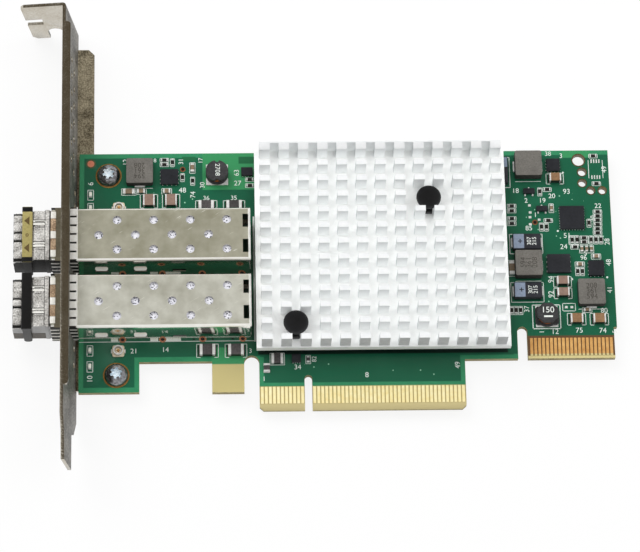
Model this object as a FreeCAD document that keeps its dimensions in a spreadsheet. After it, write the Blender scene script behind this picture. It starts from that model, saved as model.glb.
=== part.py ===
import FreeCAD, Part
import os

# Dual port network interface card with a full height bracket, a pin fin heat
# sink and two plugged-in optical transceivers whose bails swing.
# X runs away from the bracket with 0 on the key notch, Y runs up from the
# lower edge of the edge connector, Z rises from the component face.

# Heat sink: it sets how far the board reaches to the right.
sink_left = -12.8
sink_length = 63.2
sink_right = sink_left + sink_length
sink_base_z = 3.1
sink_base_thick = 2.05
fin_height = 5.65
fin_width = 2.65
fin_depth = 1.45
fin_edge = 1.25
fin_pitch_x = 4.84
fin_pitch_y = 4.19
web_thick = 0.4
# Board
board_left = -57.1
board_low = 12.9
board_height = 56.0
board_top = board_low + board_height
board_thick = 1.57
power_zone = 27.2
board_right = sink_right + power_zone
foot_length = 15.1
foot_right = board_left + foot_length
foot_drop = 7.9
foot_low = board_low - foot_drop
tongue_left = -12.15
tongue_length = 51.3
tongue_right = tongue_left + tongue_length
tongue_gap = 3.75
tab_length = 8.0
tab_right = tongue_left - tongue_gap
tab_left = tab_right - tab_length
tab_low = 4.8
key_width = 1.9
key_depth = 9.1
rear_tongue_right = board_right - 0.8
rear_tongue_length = 21.8
rear_tongue_left = rear_tongue_right - rear_tongue_length
rear_slot_width = 2.5
rear_slot_left = rear_tongue_left - rear_slot_width
rear_slot_depth = 8.4
rear_slot_top = board_low + rear_slot_depth
first_contact = -11.5
contact_pitch = 1.0
contact_width = 0.7
contact_low = 1.75
contact_length = 4.4
rear_contact_length = 4.7
contact_thick = 0.05
sink_low = board_low + 1.7
sink_depth = board_height - 3.15
sink_high = sink_low + sink_depth
push_right_x = sink_right - 19.6
push_right_y = sink_high - 14.45
push_left_x = sink_left + 9.75
push_left_y = sink_low + 5.5
push_radius = 1.4
chip_side = 25.0
chip_x = (push_left_x + push_right_x) / 2
chip_y = (push_left_y + push_right_y) / 2
# Bracket
sheet_thick = 0.86
sheet_z = -board_thick - sheet_thick
bend_radius = 0.9
bracket_x = board_left - 1.4
bracket_width = 18.42
bracket_height = 120.06
bracket_low = -16.2
bracket_top = bracket_low + bracket_height
shoulder_low = bracket_low + 14.0
bracket_lean = 7.2
tab_depth = 11.8
tab_slot_width = 3.0
relief_radius = 1.95
lip_width = 2.1
lip_low_y = shoulder_low + 5.4
lip_high_y = bracket_top - 6.26
flange_width = 4.75
flange_low = foot_low + 1.0
flange_high = bracket_top - 5.21
screw_head = 2.8
upper_screw_x = board_left + 7.4
upper_screw_y = board_top - 6.0
lower_screw_x = board_left + 9.4
lower_screw_y = foot_low + 4.5
# Cages and transceivers
cage_width = 14.0
cage_height = 9.8
cage_wall = 0.3
cage_bend = 0.8
cage_front = board_left - 6.3
cage_length = 49.4
cage_rear = cage_front + cage_length
leg_pitch = 10.0
leg_x = cage_front + 17.25
leg_y = cage_width / 2 - cage_wall / 2
port_pitch = 17.5
lower_port_y = board_low + 12.95
upper_port_y = lower_port_y + port_pitch
hole_pitch = 9.1
hole_rows = 4.05
hole_radius = 1.05
bail_pivot_x = cage_front - 6.1
bail_pivot_z = 1.2
bail_radius = 8.1
bail_thick = 0.75
nose_front = bail_pivot_x - 3.6
nose_width = 13.0
nose_rear = cage_front - 0.6
receptacle_width = 5.0
receptacle_pitch = 6.25
module_length = 46.4
# Chip parts that come in one size each
resistor_length = 1.65
resistor_width = 0.7
resistor_height = 0.4
bead_length = 3.9
bead_width = 2.8
bead_height = 1.4

os.makedirs("parts", exist_ok=True)
doc = FreeCAD.newDocument("network_card")
sheet = doc.addObject("Spreadsheet::Sheet", "sizes")
driving = [(alias, value) for alias, value in globals().items() if isinstance(value, float)]
for row, (alias, value) in enumerate(driving, 1):
    sheet.set("A%d" % row, alias)
    sheet.set("B%d" % row, str(value))
    sheet.setAlias("B%d" % row, alias)
doc.recompute()


def bind(item, prop, value):
    """Set a property from a number, or bind it when given as an expression."""
    if isinstance(value, str):
        item.setExpression(prop, value)
    elif prop == "Placement.Base.x":
        item.Placement.Base.x = value
    elif prop == "Placement.Base.y":
        item.Placement.Base.y = value
    elif prop == "Placement.Base.z":
        item.Placement.Base.z = value
    else:
        setattr(item, prop, value)


def block(name, x, y, z, length, width, height):
    """A rectangular block from its low corner and its three sizes."""
    item = doc.addObject("Part::Box", name)
    bind(item, "Length", length)
    bind(item, "Width", width)
    bind(item, "Height", height)
    bind(item, "Placement.Base.x", x)
    bind(item, "Placement.Base.y", y)
    bind(item, "Placement.Base.z", z)
    return item


def rod(name, x, y, z, radius, height, along="z"):
    """A round rod that starts at a point and runs along one axis."""
    item = doc.addObject("Part::Cylinder", name)
    bind(item, "Radius", radius)
    bind(item, "Height", height)
    if along == "x":
        item.Placement.Rotation = FreeCAD.Rotation(FreeCAD.Vector(0, 1, 0), 90)
    if along == "y":
        item.Placement.Rotation = FreeCAD.Rotation(FreeCAD.Vector(1, 0, 0), -90)
    bind(item, "Placement.Base.x", x)
    bind(item, "Placement.Base.y", y)
    bind(item, "Placement.Base.z", z)
    return item


def facet_rod(name, x, y, z, radius, height, sides, along="z"):
    """A many sided rod, for the small round features that repeat often."""
    item = doc.addObject("Part::Prism", name)
    item.Polygon = sides
    bind(item, "Circumradius", radius)
    bind(item, "Height", height)
    if along == "x":
        item.Placement.Rotation = FreeCAD.Rotation(FreeCAD.Vector(0, 1, 0), 90)
    if along == "y":
        item.Placement.Rotation = FreeCAD.Rotation(FreeCAD.Vector(1, 0, 0), -90)
    bind(item, "Placement.Base.x", x)
    bind(item, "Placement.Base.y", y)
    bind(item, "Placement.Base.z", z)
    return item


def cone(name, x, y, z, radius_low, radius_high, height):
    """A cone frustum standing on the given point."""
    item = doc.addObject("Part::Cone", name)
    item.Radius1 = radius_low
    item.Radius2 = radius_high
    item.Height = height
    bind(item, "Placement.Base.x", x)
    bind(item, "Placement.Base.y", y)
    bind(item, "Placement.Base.z", z)
    return item


def prism(name, points, start, depth, axis):
    """Extrude a closed outline of points along x, y or z."""
    wire = doc.addObject("Part::Polygon", name + "_outline")
    wire.Nodes = [FreeCAD.Vector(*point) for point in points]
    wire.Close = True
    solid = doc.addObject("Part::Extrusion", name)
    solid.Base = wire
    solid.DirMode = "Custom"
    solid.Dir = axis
    solid.LengthFwd = depth
    solid.Solid = True
    solid.Placement.Base = FreeCAD.Vector(*start)
    return solid


def rounded(name, base, radius, test):
    """Round the edges of a base whose middle and direction pass a test."""
    doc.recompute()
    chosen = []
    for number, edge in enumerate(base.Shape.Edges, 1):
        middle = edge.CenterOfMass
        along = edge.Vertexes[-1].Point - edge.Vertexes[0].Point
        if along.Length > 0:
            along.normalize()
        if test(middle, along):
            chosen.append((number, radius, radius))
    item = doc.addObject("Part::Fillet", name)
    item.Base = base
    item.Edges = chosen
    return item


def fuse(name, items):
    """Join items into one solid."""
    item = doc.addObject("Part::MultiFuse", name)
    item.Shapes = items
    item.Refine = True
    return item


def cut(name, base, tools):
    """Take a list of tools away from a base."""
    tool = tools[0]
    if len(tools) > 1:
        tool = doc.addObject("Part::MultiFuse", name + "_tools")
        tool.Shapes = tools
    item = doc.addObject("Part::Cut", name)
    item.Base = base
    item.Tool = tool
    item.Refine = True
    return item


def group(name, items):
    """Keep separate pieces of one kind together."""
    item = doc.addObject("Part::Compound", name)
    item.Links = items
    return item


nodes = []


def node(item, label):
    """Give a finished sub-part its node name and put it on the list."""
    item.Label = label
    nodes.append(item)
    return item


# ---------------------------------------------------------------- board
main_field = block("main_field", "sizes.board_left", "sizes.board_low", "-sizes.board_thick",
                   "sizes.board_right - sizes.board_left", "sizes.board_height",
                   "sizes.board_thick")
foot = block("foot", "sizes.board_left", "sizes.foot_low", "-sizes.board_thick",
             "sizes.foot_length", "sizes.foot_drop + 1", "sizes.board_thick")
bare_tab = block("bare_tab", "sizes.tab_left", "sizes.tab_low", "-sizes.board_thick",
                 "sizes.tab_length", "sizes.board_low + 1 - sizes.tab_low", "sizes.board_thick")
tongue = block("tongue", "sizes.tongue_left", 0.0, "-sizes.board_thick",
               "sizes.tongue_length", "sizes.board_low + 1", "sizes.board_thick")
board_blank = fuse("board_blank", [main_field, foot, bare_tab, tongue])
cuts = []
# The key notch and the relief slots end in half rounds.
cuts.append(block("key_slot", "-sizes.key_width / 2", -1.0, -3.0, "sizes.key_width",
                  "sizes.key_depth - sizes.key_width / 2 + 1", 4.0))
cuts.append(rod("key_round", 0.0, "sizes.key_depth - sizes.key_width / 2", -3.0,
                "sizes.key_width / 2", 4.0))
cuts.append(rod("relief_round", "sizes.tab_right + sizes.tongue_gap / 2",
                "sizes.board_low - 0.4", -3.0, "sizes.tongue_gap / 2", 4.0))
cuts.append(block("rear_slot", "sizes.rear_slot_left", "sizes.board_low - 1", -3.0,
                  "sizes.rear_slot_width",
                  "sizes.rear_slot_depth + 1 - sizes.rear_slot_width / 2", 4.0))
cuts.append(rod("rear_slot_round", "sizes.rear_slot_left + sizes.rear_slot_width / 2",
                "sizes.rear_slot_top - sizes.rear_slot_width / 2", -3.0,
                "sizes.rear_slot_width / 2", 4.0))
cuts.append(block("right_step", "sizes.rear_tongue_right", "sizes.board_low - 1", -3.0, 3.0,
                  "sizes.rear_slot_depth + 0.7", 4.0))
# The lower corners of the tongue are chamfered and its edge is bevelled.
for name, corner, side in (("left", tongue_left, 1), ("right", tongue_right, -1)):
    cuts.append(prism("tongue_corner_%s" % name,
                      [(corner - 0.15 * side, -0.2, -3), (corner + 1.15 * side, -0.2, -3),
                       (corner - 0.15 * side, 1.1, -3)], (0, 0, 0), 5.0, (0, 0, 1)))
for name, face, out in (("top", 0.0, 1), ("under", -board_thick, -1)):
    cuts.append(prism("bevel_%s" % name,
                      [(tongue_left - 1, -0.1, face - 0.5 * out),
                       (tongue_left - 1, -0.1, face + 0.2 * out),
                       (tongue_left - 1, 1.5, face + 0.2 * out),
                       (tongue_left - 1, 1.4, face)],
                      (0, 0, 0), tongue_length + 2, (1, 0, 0)))
# Plated holes near the upper right corner, from the board's corner.
for index, (inset, drop, hr) in enumerate([(7.6, 2.7, 1.55), (6.85, 6.0, 1.05), (6.9, 9.0, 1.0),
                                           (4.8, 11.1, 0.95), (1.9, 11.1, 0.95)]):
    maker = rod if index == 0 else facet_rod
    sides = () if index == 0 else (20,)
    cuts.append(maker("plated_hole_%d" % index, "sizes.board_right - %.2f" % inset,
                      "sizes.board_top - %.2f" % drop, -3.0, hr, 4.0, *sides))
# Screw holes, push pin holes and the holes that take the cage legs.
for name in ("upper_screw", "lower_screw", "push_right", "push_left"):
    cuts.append(facet_rod("%s_hole" % name, "sizes.%s_x" % name, "sizes.%s_y" % name, -3.0,
                          1.65, 4.0, 20))
for port in ("upper", "lower"):
    for side in (-1, 1):
        for step in range(4):
            cuts.append(facet_rod("leg_hole_%s_%d_%d" % (port, side + 1, step),
                                  "sizes.leg_x + %d * sizes.leg_pitch" % step,
                                  "sizes.%s_port_y + %d * sizes.leg_y" % (port, side),
                                  -3.0, 0.6, 4.0, 8))
board = node(cut("board", board_blank, cuts), "circuit_board")

# ---------------------------------------------------------------- edge contacts
pads = []
contact_count = int((tongue_right - 1.0 - first_contact) / contact_pitch) + 1
for index in range(contact_count):
    place = first_contact + index * contact_pitch
    if abs(place) < key_width / 2 + 0.05:
        continue
    for face, z in (("front", "0"), ("back", "-sizes.board_thick - sizes.contact_thick")):
        pads.append(block("pad_%s_%d" % (face, index),
                          "sizes.first_contact + %d * sizes.contact_pitch"
                          " - sizes.contact_width / 2" % index,
                          "sizes.contact_low", z, "sizes.contact_width",
                          "sizes.contact_length", "sizes.contact_thick"))
node(group("contacts", pads), "edge_contacts")
rear_pads = []
for index in range(int((rear_tongue_length - 1.0) / contact_pitch) + 1):
    for face, z in (("front", "0"), ("back", "-sizes.board_thick - sizes.contact_thick")):
        rear_pads.append(block("rear_pad_%s_%d" % (face, index),
                               "sizes.rear_tongue_left + 0.95 + %d * sizes.contact_pitch"
                               " - sizes.contact_width / 2" % index,
                               "sizes.board_low + 0.7", z, "sizes.contact_width",
                               "sizes.rear_contact_length", "sizes.contact_thick"))
node(group("rear_contacts", rear_pads), "rear_edge_contacts")

# ---------------------------------------------------------------- bracket
# The plate stands on its far edge and leans outward a little about the bend.
# It is folded from one sheet, so the tab meets it in a rounded bend.
plate = block("plate", 0.0, "sizes.shoulder_low", 0.0, "sizes.sheet_thick",
              "sizes.bracket_top - sizes.shoulder_low", "sizes.bracket_width")
stem = prism("stem", [(0, shoulder_low, 0.0), (0, shoulder_low - 4.1, 3.6),
                      (0, shoulder_low - 5.0, 6.6), (0, bracket_low, 6.8),
                      (0, bracket_low, bracket_width - 2.0),
                      (0, shoulder_low - 6.7, bracket_width - 1.6),
                      (0, shoulder_low - 2.7, bracket_width),
                      (0, shoulder_low + 0.1, bracket_width), (0, shoulder_low + 0.1, 0.0)],
             (0, 0, 0), sheet_thick, (1, 0, 0))
tab = block("tab", "sizes.sheet_thick - sizes.tab_depth", "sizes.bracket_top - sizes.sheet_thick",
            0.0, "sizes.tab_depth", "sizes.sheet_thick", "sizes.bracket_width")
folded = rounded("folded", fuse("unfolded", [plate, stem, tab]), bend_radius,
                 lambda middle, along: abs(along.z) > 0.9 and middle.y > bracket_top - 0.1
                 and middle.x > 0)
lip = block("lip", 0.0, "sizes.lip_low_y", "sizes.bracket_width - sizes.sheet_thick",
            "sizes.lip_width", "sizes.lip_high_y - sizes.lip_low_y", "sizes.sheet_thick")
lip_ends = [facet_rod("lip_end_%s" % name, "sizes.lip_width / 2", "sizes.lip_%s_y" % name,
                      "sizes.bracket_width - sizes.sheet_thick", "sizes.lip_width / 2",
                      "sizes.sheet_thick", 20) for name in ("low", "high")]
upright_blank = fuse("upright_blank", [folded, lip] + lip_ends)
upright_cuts = []
# The open slot for the fixing screw and the half-round relief at the bend.
tab_y = bracket_top - 3.86
upright_cuts.append(block("tab_slot", "-sizes.tab_depth - 1.6", tab_y, 8.0, 6.7, 6.0,
                          "sizes.tab_slot_width"))
upright_cuts.append(rod("bend_relief", -4.5, tab_y, "5.3 - sizes.relief_radius",
                        "sizes.relief_radius", 6.0, "y"))
upright_cuts.append(block("bend_relief_far", "-4.5 - sizes.relief_radius", tab_y, -1.0,
                          "2 * sizes.relief_radius", 6.0, "6.3 - sizes.relief_radius"))
upright_cuts.append(block("bend_relief_edge", -3.0, "sizes.bracket_top - sizes.sheet_thick - 0.01",
                          -1.0, 3.0, 6.0, 4.0))
tab_tip = sheet_thick - tab_depth
upright_cuts.append(prism("tab_corner_near",
                          [(tab_tip - 0.4, tab_y, bracket_width + 0.5),
                           (tab_tip + 1.3, tab_y, bracket_width + 0.5),
                           (tab_tip - 0.4, tab_y, bracket_width - 1.2)],
                          (0, 0, 0), 6.0, (0, 1, 0)))
upright_cuts.append(prism("tab_corner_far",
                          [(tab_tip - 0.4, tab_y, -0.4), (tab_tip + 1.6, tab_y, -0.4),
                           (tab_tip - 0.4, tab_y, 1.6)],
                          (0, 0, 0), 6.0, (0, 1, 0)))
# Vent holes above the ports.
vent_low = upper_port_y + 19.05
vent_pitch = 4.55
vent_count = int((bracket_top - 9.0 - vent_low) / vent_pitch)
for line in range(3):
    for step in range(vent_count):
        upright_cuts.append(facet_rod("vent_%d_%d" % (line, step), -2.0,
                                      vent_low + vent_pitch * (step + 0.5 * (line % 2)),
                                      5.9 + 3.4 * line, 0.95, 5.0, 12, "x"))
upright = cut("upright", upright_blank, upright_cuts)
upright.Placement.Rotation = FreeCAD.Rotation(FreeCAD.Vector(0, -1, 0), bracket_lean)
upright.setExpression("Placement.Base.x", "sizes.bracket_x")
upright.setExpression("Placement.Base.z", "sizes.sheet_z")
upright.setExpression("Placement.Rotation.Angle", "sizes.bracket_lean")
# The far flange lies under the board and carries two screw ears.
flange = block("flange", "sizes.bracket_x + 0.25", "sizes.flange_low", "sizes.sheet_z",
               "sizes.flange_width", "sizes.flange_high - sizes.flange_low", "sizes.sheet_thick")
ears = []
for name in ("upper", "lower"):
    ears.append(block("%s_ear" % name, "sizes.bracket_x + 3.5",
                      "sizes.%s_screw_y - 3.5" % name, "sizes.sheet_z",
                      "sizes.%s_screw_x - sizes.bracket_x - 3.5" % name, 7.0,
                      "sizes.sheet_thick"))
    ears.append(rod("%s_ear_round" % name, "sizes.%s_screw_x" % name,
                    "sizes.%s_screw_y" % name, "sizes.sheet_z", 3.5, "sizes.sheet_thick"))
bracket_blank = fuse("bracket_blank", [upright, flange] + ears)
bracket_cuts = []
for name in ("upper", "lower"):
    bracket_cuts.append(facet_rod("%s_ear_hole" % name, "sizes.%s_screw_x" % name,
                                  "sizes.%s_screw_y" % name, "sizes.sheet_z - 1", 1.55, 3.0, 20))
flange_right = bracket_x + 0.25 + flange_width
bracket_cuts.append(prism("flange_corner",
                          [(flange_right + 0.2, flange_high + 0.35, sheet_z - 1),
                           (flange_right + 0.2, flange_high - 1.65, sheet_z - 1),
                           (flange_right - 1.8, flange_high + 0.35, sheet_z - 1)],
                          (0, 0, 0), 4.0, (0, 0, 1)))
for port in ("upper", "lower"):
    bracket_cuts.append(block("%s_window" % port, "sizes.bracket_x - 4.5",
                              "sizes.%s_port_y - sizes.cage_width / 2 - 0.5" % port,
                              -0.55, 6.0, "sizes.cage_width + 1", "sizes.cage_height + 1.3"))
light_places = [(board_left + 2.85, upper_port_y + 14.35), (board_left + 2.85, upper_port_y + 10.75),
                (board_left + 2.85, foot_low + 11.0), (board_left + 2.85, foot_low + 6.8)]
for index, (light_x, light_y) in enumerate(light_places):
    bracket_cuts.append(facet_rod("light_window_%d" % index, bracket_x - 4.5, light_y, 1.5,
                                  0.8, 6.0, 12, "x"))
node(cut("bracket_cut", bracket_blank, bracket_cuts), "bracket")

# ---------------------------------------------------------------- bracket screws
# Pan head screws with a crossed recess, through the ears from the board side.
screws = []
for name in ("upper", "lower"):
    x = "sizes.%s_screw_x" % name
    y = "sizes.%s_screw_y" % name
    head = cone("%s_head" % name, x, y, 0.25, screw_head, screw_head - 0.15, 0.85)
    dome = cone("%s_dome" % name, x, y, 1.1, screw_head - 0.15, screw_head - 0.95, 0.9)
    washer = facet_rod("%s_washer" % name, x, y, 0.0, "sizes.screw_head + 0.45", 0.25, 24)
    shank = facet_rod("%s_shank" % name, x, y, "sizes.sheet_z - 1.2", 1.45,
                      "1.4 - sizes.sheet_z", 16)
    whole = fuse("%s_screw_blank" % name, [head, dome, washer, shank])
    slot_a = block("%s_cross_a" % name, x + " - 1.5", y + " - 0.25", 1.2, 3.0, 0.5, 1.5)
    slot_b = block("%s_cross_b" % name, x + " - 0.25", y + " - 1.5", 1.2, 0.5, 3.0, 1.5)
    screws.append(cut("%s_screw" % name, whole, [slot_a, slot_b]))
node(group("screws", screws), "bracket_screws")

# ---------------------------------------------------------------- heat sink
# Square pins stand on a base plate. The last row is joined by a thin web, and
# two pins are left out round each push pin.
sink_base = block("sink_base", "sizes.sink_left", "sizes.sink_low", "sizes.sink_base_z",
                  "sizes.sink_length", "sizes.sink_depth", "sizes.sink_base_thick")
fins = []
fin_columns = int((sink_length - fin_edge - fin_width) / fin_pitch_x) + 1
fin_rows = int((sink_depth - 2.2) / fin_pitch_y) + 1
pushes = [(push_right_x, push_right_y), (push_left_x, push_left_y)]
for col in range(fin_columns):
    fin_x = sink_left + fin_edge + col * fin_pitch_x
    for line in range(fin_rows):
        fin_y = sink_high - 2.2 - line * fin_pitch_y
        near = [(px, py) for px, py in pushes if abs(fin_x + fin_width / 2 - px) < 3.5
                and abs(fin_y + fin_depth / 2 - py) < 2.5]
        if near:
            continue
        fins.append(block("fin_%d_%d" % (col, line),
                          "sizes.sink_left + sizes.fin_edge + %d * sizes.fin_pitch_x" % col,
                          "sizes.sink_high - 2.2 - %d * sizes.fin_pitch_y" % line,
                          "sizes.sink_base_z + sizes.sink_base_thick - 0.1", "sizes.fin_width",
                          "sizes.fin_depth" if line else 2.2 - web_thick / 2,
                          "sizes.fin_height + 0.1"))
web = block("web", "sizes.sink_left + sizes.fin_edge", "sizes.sink_high - sizes.web_thick",
            "sizes.sink_base_z + sizes.sink_base_thick - 0.1",
            "%d * sizes.fin_pitch_x + sizes.fin_width" % (fin_columns - 1), "sizes.web_thick",
            "sizes.fin_height + 0.1")
sink_blank = fuse("sink_blank", [sink_base, web] + fins)
sink_holes = [facet_rod("sink_hole_right", "sizes.push_right_x", "sizes.push_right_y", 2.0,
                        1.75, 4.0, 20),
              facet_rod("sink_hole_left", "sizes.push_left_x", "sizes.push_left_y", 2.0,
                        1.75, 4.0, 20)]
node(cut("sink", sink_blank, sink_holes), "heat_sink")

# Two sprung push pins hold the heat sink down on the controller.
spring_z = sink_base_z + sink_base_thick
cap_z = 8.1
pins = []
springs = []
for name in ("right", "left"):
    x = "sizes.push_%s_x" % name
    y = "sizes.push_%s_y" % name
    cap = rod("%s_cap" % name, x, y, cap_z, 3.1, 0.6)
    crown = cone("%s_crown" % name, x, y, cap_z + 0.6, 3.1, 2.5, 0.3)
    pin_shank = facet_rod("%s_pin_shank" % name, x, y, "-sizes.board_thick - 0.13",
                          "sizes.push_radius", cap_z + board_thick + 0.13, 20)
    barb = cone("%s_barb" % name, x, y, -board_thick - 1.43, 0.7, 1.95, 1.35)
    pins.append(fuse("%s_push_pin" % name, [cap, crown, pin_shank, barb]))
    coil = facet_rod("%s_coil" % name, x, y, spring_z, 2.35, cap_z - spring_z, 24)
    coil_bore = facet_rod("%s_coil_bore" % name, x, y, 4.0, 1.9, 5.0, 24)
    springs.append(cut("%s_spring" % name, coil, [coil_bore]))
node(group("push_pins", pins), "heat_sink_push_pins")
node(group("push_springs", springs), "push_pin_springs")

# The controller package sits under the heat sink, midway between the push pins.
substrate = block("substrate", "sizes.chip_x - sizes.chip_side / 2",
                  "sizes.chip_y - sizes.chip_side / 2", 0.0, "sizes.chip_side",
                  "sizes.chip_side", 0.7)
die_cap = block("die_cap", "sizes.chip_x - sizes.chip_side / 2 + 1.5",
                "sizes.chip_y - sizes.chip_side / 2 + 1.5", 0.7, "sizes.chip_side - 3",
                "sizes.chip_side - 3", 1.9)
node(fuse("controller", [substrate, die_cap]), "controller_chip")
node(block("pad_sheet", "sizes.chip_x - sizes.chip_side / 2 + 2.5",
           "sizes.chip_y - sizes.chip_side / 2 + 2.5", 2.6, "sizes.chip_side - 5",
           "sizes.chip_side - 5", "sizes.sink_base_z - 2.6"), "thermal_pad")

# ---------------------------------------------------------------- cages
for port in ("upper", "lower"):
    y = "sizes.%s_port_y" % port
    # The cage is folded from sheet: its upper edges and back corners are bends.
    raw_shell = block("%s_raw_shell" % port, "sizes.cage_front", y + " - sizes.cage_width / 2",
                      0.0, "sizes.cage_length", "sizes.cage_width", "sizes.cage_height")
    shell = rounded("%s_shell" % port, raw_shell, cage_bend,
                    lambda middle, along: middle.z > cage_height - 0.1 and (
                        abs(along.x) > 0.9 or middle.x > cage_rear - 0.1))
    inner = block("%s_inner" % port, "sizes.cage_front - 1",
                  y + " - sizes.cage_width / 2 + sizes.cage_wall", "sizes.cage_wall",
                  "sizes.cage_length + 1 - sizes.cage_wall",
                  "sizes.cage_width - 2 * sizes.cage_wall",
                  "sizes.cage_height - 2 * sizes.cage_wall")
    hollow = rounded("%s_hollow" % port, inner, cage_bend - cage_wall,
                     lambda middle, along: middle.z > cage_height - 1 and abs(along.x) > 0.9)
    belly = block("%s_belly" % port, "sizes.cage_rear - 11.6", y + " - 6.2", -1.0, 11.0, 12.4,
                  2.0)
    legs = []
    for side in (-1, 1):
        for step in range(4):
            legs.append(block("%s_leg_%d_%d" % (port, side + 1, step),
                              "sizes.leg_x - 0.4 + %d * sizes.leg_pitch" % step,
                              y + " + %d * sizes.leg_y - sizes.cage_wall / 2" % side, -1.4, 0.8,
                              "sizes.cage_wall", 1.45))
    tools = [hollow, belly]
    for column in range(4):
        for line in (-1, 0, 1):
            shift = 16.2 if line != 0 else 11.65
            tools.append(facet_rod("%s_vent_%d_%d" % (port, column, line + 1),
                                   "sizes.cage_front + %.2f + %d * sizes.hole_pitch"
                                   % (shift, column),
                                   y + " + %d * sizes.hole_rows" % line,
                                   "sizes.cage_height - 0.8", "sizes.hole_radius", 2.0, 12))
    for line in (-1, 1):
        tools.append(block("%s_rear_slot_%d" % (port, line + 1), "sizes.cage_rear - 1.95",
                           y + " - 1.75 + %.2f" % (line * 3.35), "sizes.cage_height - 0.8", 1.0,
                           3.5, 2.0))
        for step in range(3):
            tools.append(block("%s_tab_hole_%d_%d" % (port, line + 1, step),
                               "sizes.cage_front + 10.5 + %.2f" % (9.7 * step),
                               y + " + %d * sizes.leg_y - 0.5" % line, 1.6, 3.3, 1.0, 1.6))
    tube = cut("%s_tube" % port, shell, tools)
    node(fuse("%s_cage_solid" % port, [tube] + legs), "%s_cage" % port)

    # A sprung collar closes the gap between the cage and the bracket.
    ring = block("%s_ring" % port, "sizes.cage_front - 0.3", y + " - sizes.cage_width / 2 - 0.25",
                 -0.25, 6.75, "sizes.cage_width + 0.5", "sizes.cage_height + 0.5")
    ring_hole = block("%s_ring_hole" % port, "sizes.cage_front - 0.6",
                      y + " - sizes.cage_width / 2 - 0.02", -0.02, 8.0, "sizes.cage_width + 0.04",
                      "sizes.cage_height + 0.04")
    ring_tools = [ring_hole, block("%s_ring_floor" % port, "sizes.cage_front + 6.1", y + " - 8",
                                   -1.0, 2.0, 16.0, 1.0)]
    for step in range(5):
        shift = 2.3 * (step - 2)
        ring_tools.append(block("%s_finger_gap_%d" % (port, step), "sizes.cage_front + 0.4",
                                y + " + %.2f - 0.22" % shift, "sizes.cage_height - 0.1", 2.4,
                                0.44, 1.0))
        ring_tools.append(block("%s_inner_gap_%d" % (port, step), "sizes.cage_front + 4.8",
                                y + " + %.2f - 0.25" % shift, "sizes.cage_height - 0.1", 1.3,
                                0.5, 1.0))
    for step in range(3):
        ring_tools.append(block("%s_side_gap_%d" % (port, step), "sizes.cage_front + 0.4",
                                y + " - 8", 2.2 + 2.7 * step, 2.4, 16.0, 0.5))
    node(cut("%s_collar_solid" % port, ring, ring_tools), "%s_cage_collar" % port)

    # The twenty-way socket at the back of the cage.
    socket = block("%s_socket_body" % port, "sizes.cage_rear - 10.4", y + " - 5.9", 0.0, 8.6,
                   11.8, 5.4)
    mouth = block("%s_socket_mouth" % port, "sizes.cage_rear - 11", y + " - 5.0", 2.75, 7.5, 10.0,
                  1.2)
    node(cut("%s_socket_solid" % port, socket, [mouth]), "%s_module_socket" % port)

    # Die-cast transceiver body: a long box in the cage and a stepped nose with
    # a round hump over each fibre receptacle.
    middle_y = upper_port_y if port == "upper" else lower_port_y
    body = block("%s_body" % port, "sizes.nose_rear", y + " - 6.6", 0.6, "sizes.module_length",
                 13.2, 8.4)
    nose = prism("%s_nose" % port,
                 [(nose_front, 0, 0.3), (nose_front, 0, 6.6), (nose_front + 0.7, 0, 7.6),
                  (bail_pivot_x - 1.3, 0, 7.6), (bail_pivot_x - 1.3, 0, 8.9),
                  (bail_pivot_x + 1.6, 0, 8.9), (bail_pivot_x + 1.6, 0, 9.3),
                  (nose_rear + 0.2, 0, 9.3), (nose_rear + 0.2, 0, 0.3)],
                 (0, middle_y - nose_width / 2, 0), nose_width, (0, 1, 0))
    flare = block("%s_flare" % port, "sizes.nose_rear - 1.05", y + " - 6.65", 0.25, 1.0, 13.3,
                  9.3)
    humps = []
    ribs = []
    for line in (-1, 1):
        humps.append(rod("%s_hump_%d" % (port, line + 1), "sizes.nose_front + 0.2",
                         y + " + %d * sizes.receptacle_pitch / 2" % line, 5.4, 2.85, 2.2, "x"))
        for edge in (-0.55, 0.55):
            ribs.append(block("%s_rib_%d_%d" % (port, line + 1, int(edge * 10) + 10),
                              "sizes.bail_pivot_x + 1.9",
                              y + " + %.2f - 0.2" % (line * 2.95 + edge), 9.2, 2.3, 0.4, 0.3))
    blank = fuse("%s_module_blank" % port, [body, nose, flare] + humps + ribs)
    tools = []
    for line in (-1, 1):
        tools.append(block("%s_receptacle_%d" % (port, line + 1), "sizes.nose_front - 1",
                           y + " + %d * sizes.receptacle_pitch / 2" % line
                           + " - sizes.receptacle_width / 2",
                           1.6, 12.1, "sizes.receptacle_width", 5.8))
        tools.append(rod("%s_pivot_hole_%d" % (port, line + 1), "sizes.bail_pivot_x",
                         y + " + %.2f" % (line * 6.5 - 0.7), "sizes.bail_pivot_z", 0.55, 1.4,
                         "y"))
    tools.append(block("%s_back_pocket" % port, "sizes.cage_rear - 11.6", y + " - 6.1", 0.0, 9.0,
                       12.2, 5.9))
    tools.append(block("%s_card_pocket" % port, "sizes.cage_rear - 17", y + " - 5.2", 2.7, 6.0,
                       10.4, 1.3))
    node(cut("%s_module_solid" % port, blank, tools), "%s_transceiver_housing" % port)
    node(block("%s_paddle" % port, "sizes.cage_rear - 16.6", y + " - 4.9", 2.85, 12.4, 9.8, 1.0),
         "%s_transceiver_board" % port)
    node(block("%s_label_sheet" % port, "sizes.nose_rear + 2", y + " - 5.9", 9.0,
               "sizes.module_length - 2.4", 11.8, 0.12), "%s_transceiver_label" % port)
    sleeves = []
    for line in (-1, 1):
        sleeve_y = y + " + %d * sizes.receptacle_pitch / 2" % line
        outer = facet_rod("%s_sleeve_outer_%d" % (port, line + 1), "sizes.nose_rear - 3.6",
                          sleeve_y, 4.5, 1.15, 5.6, 12, "x")
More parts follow.
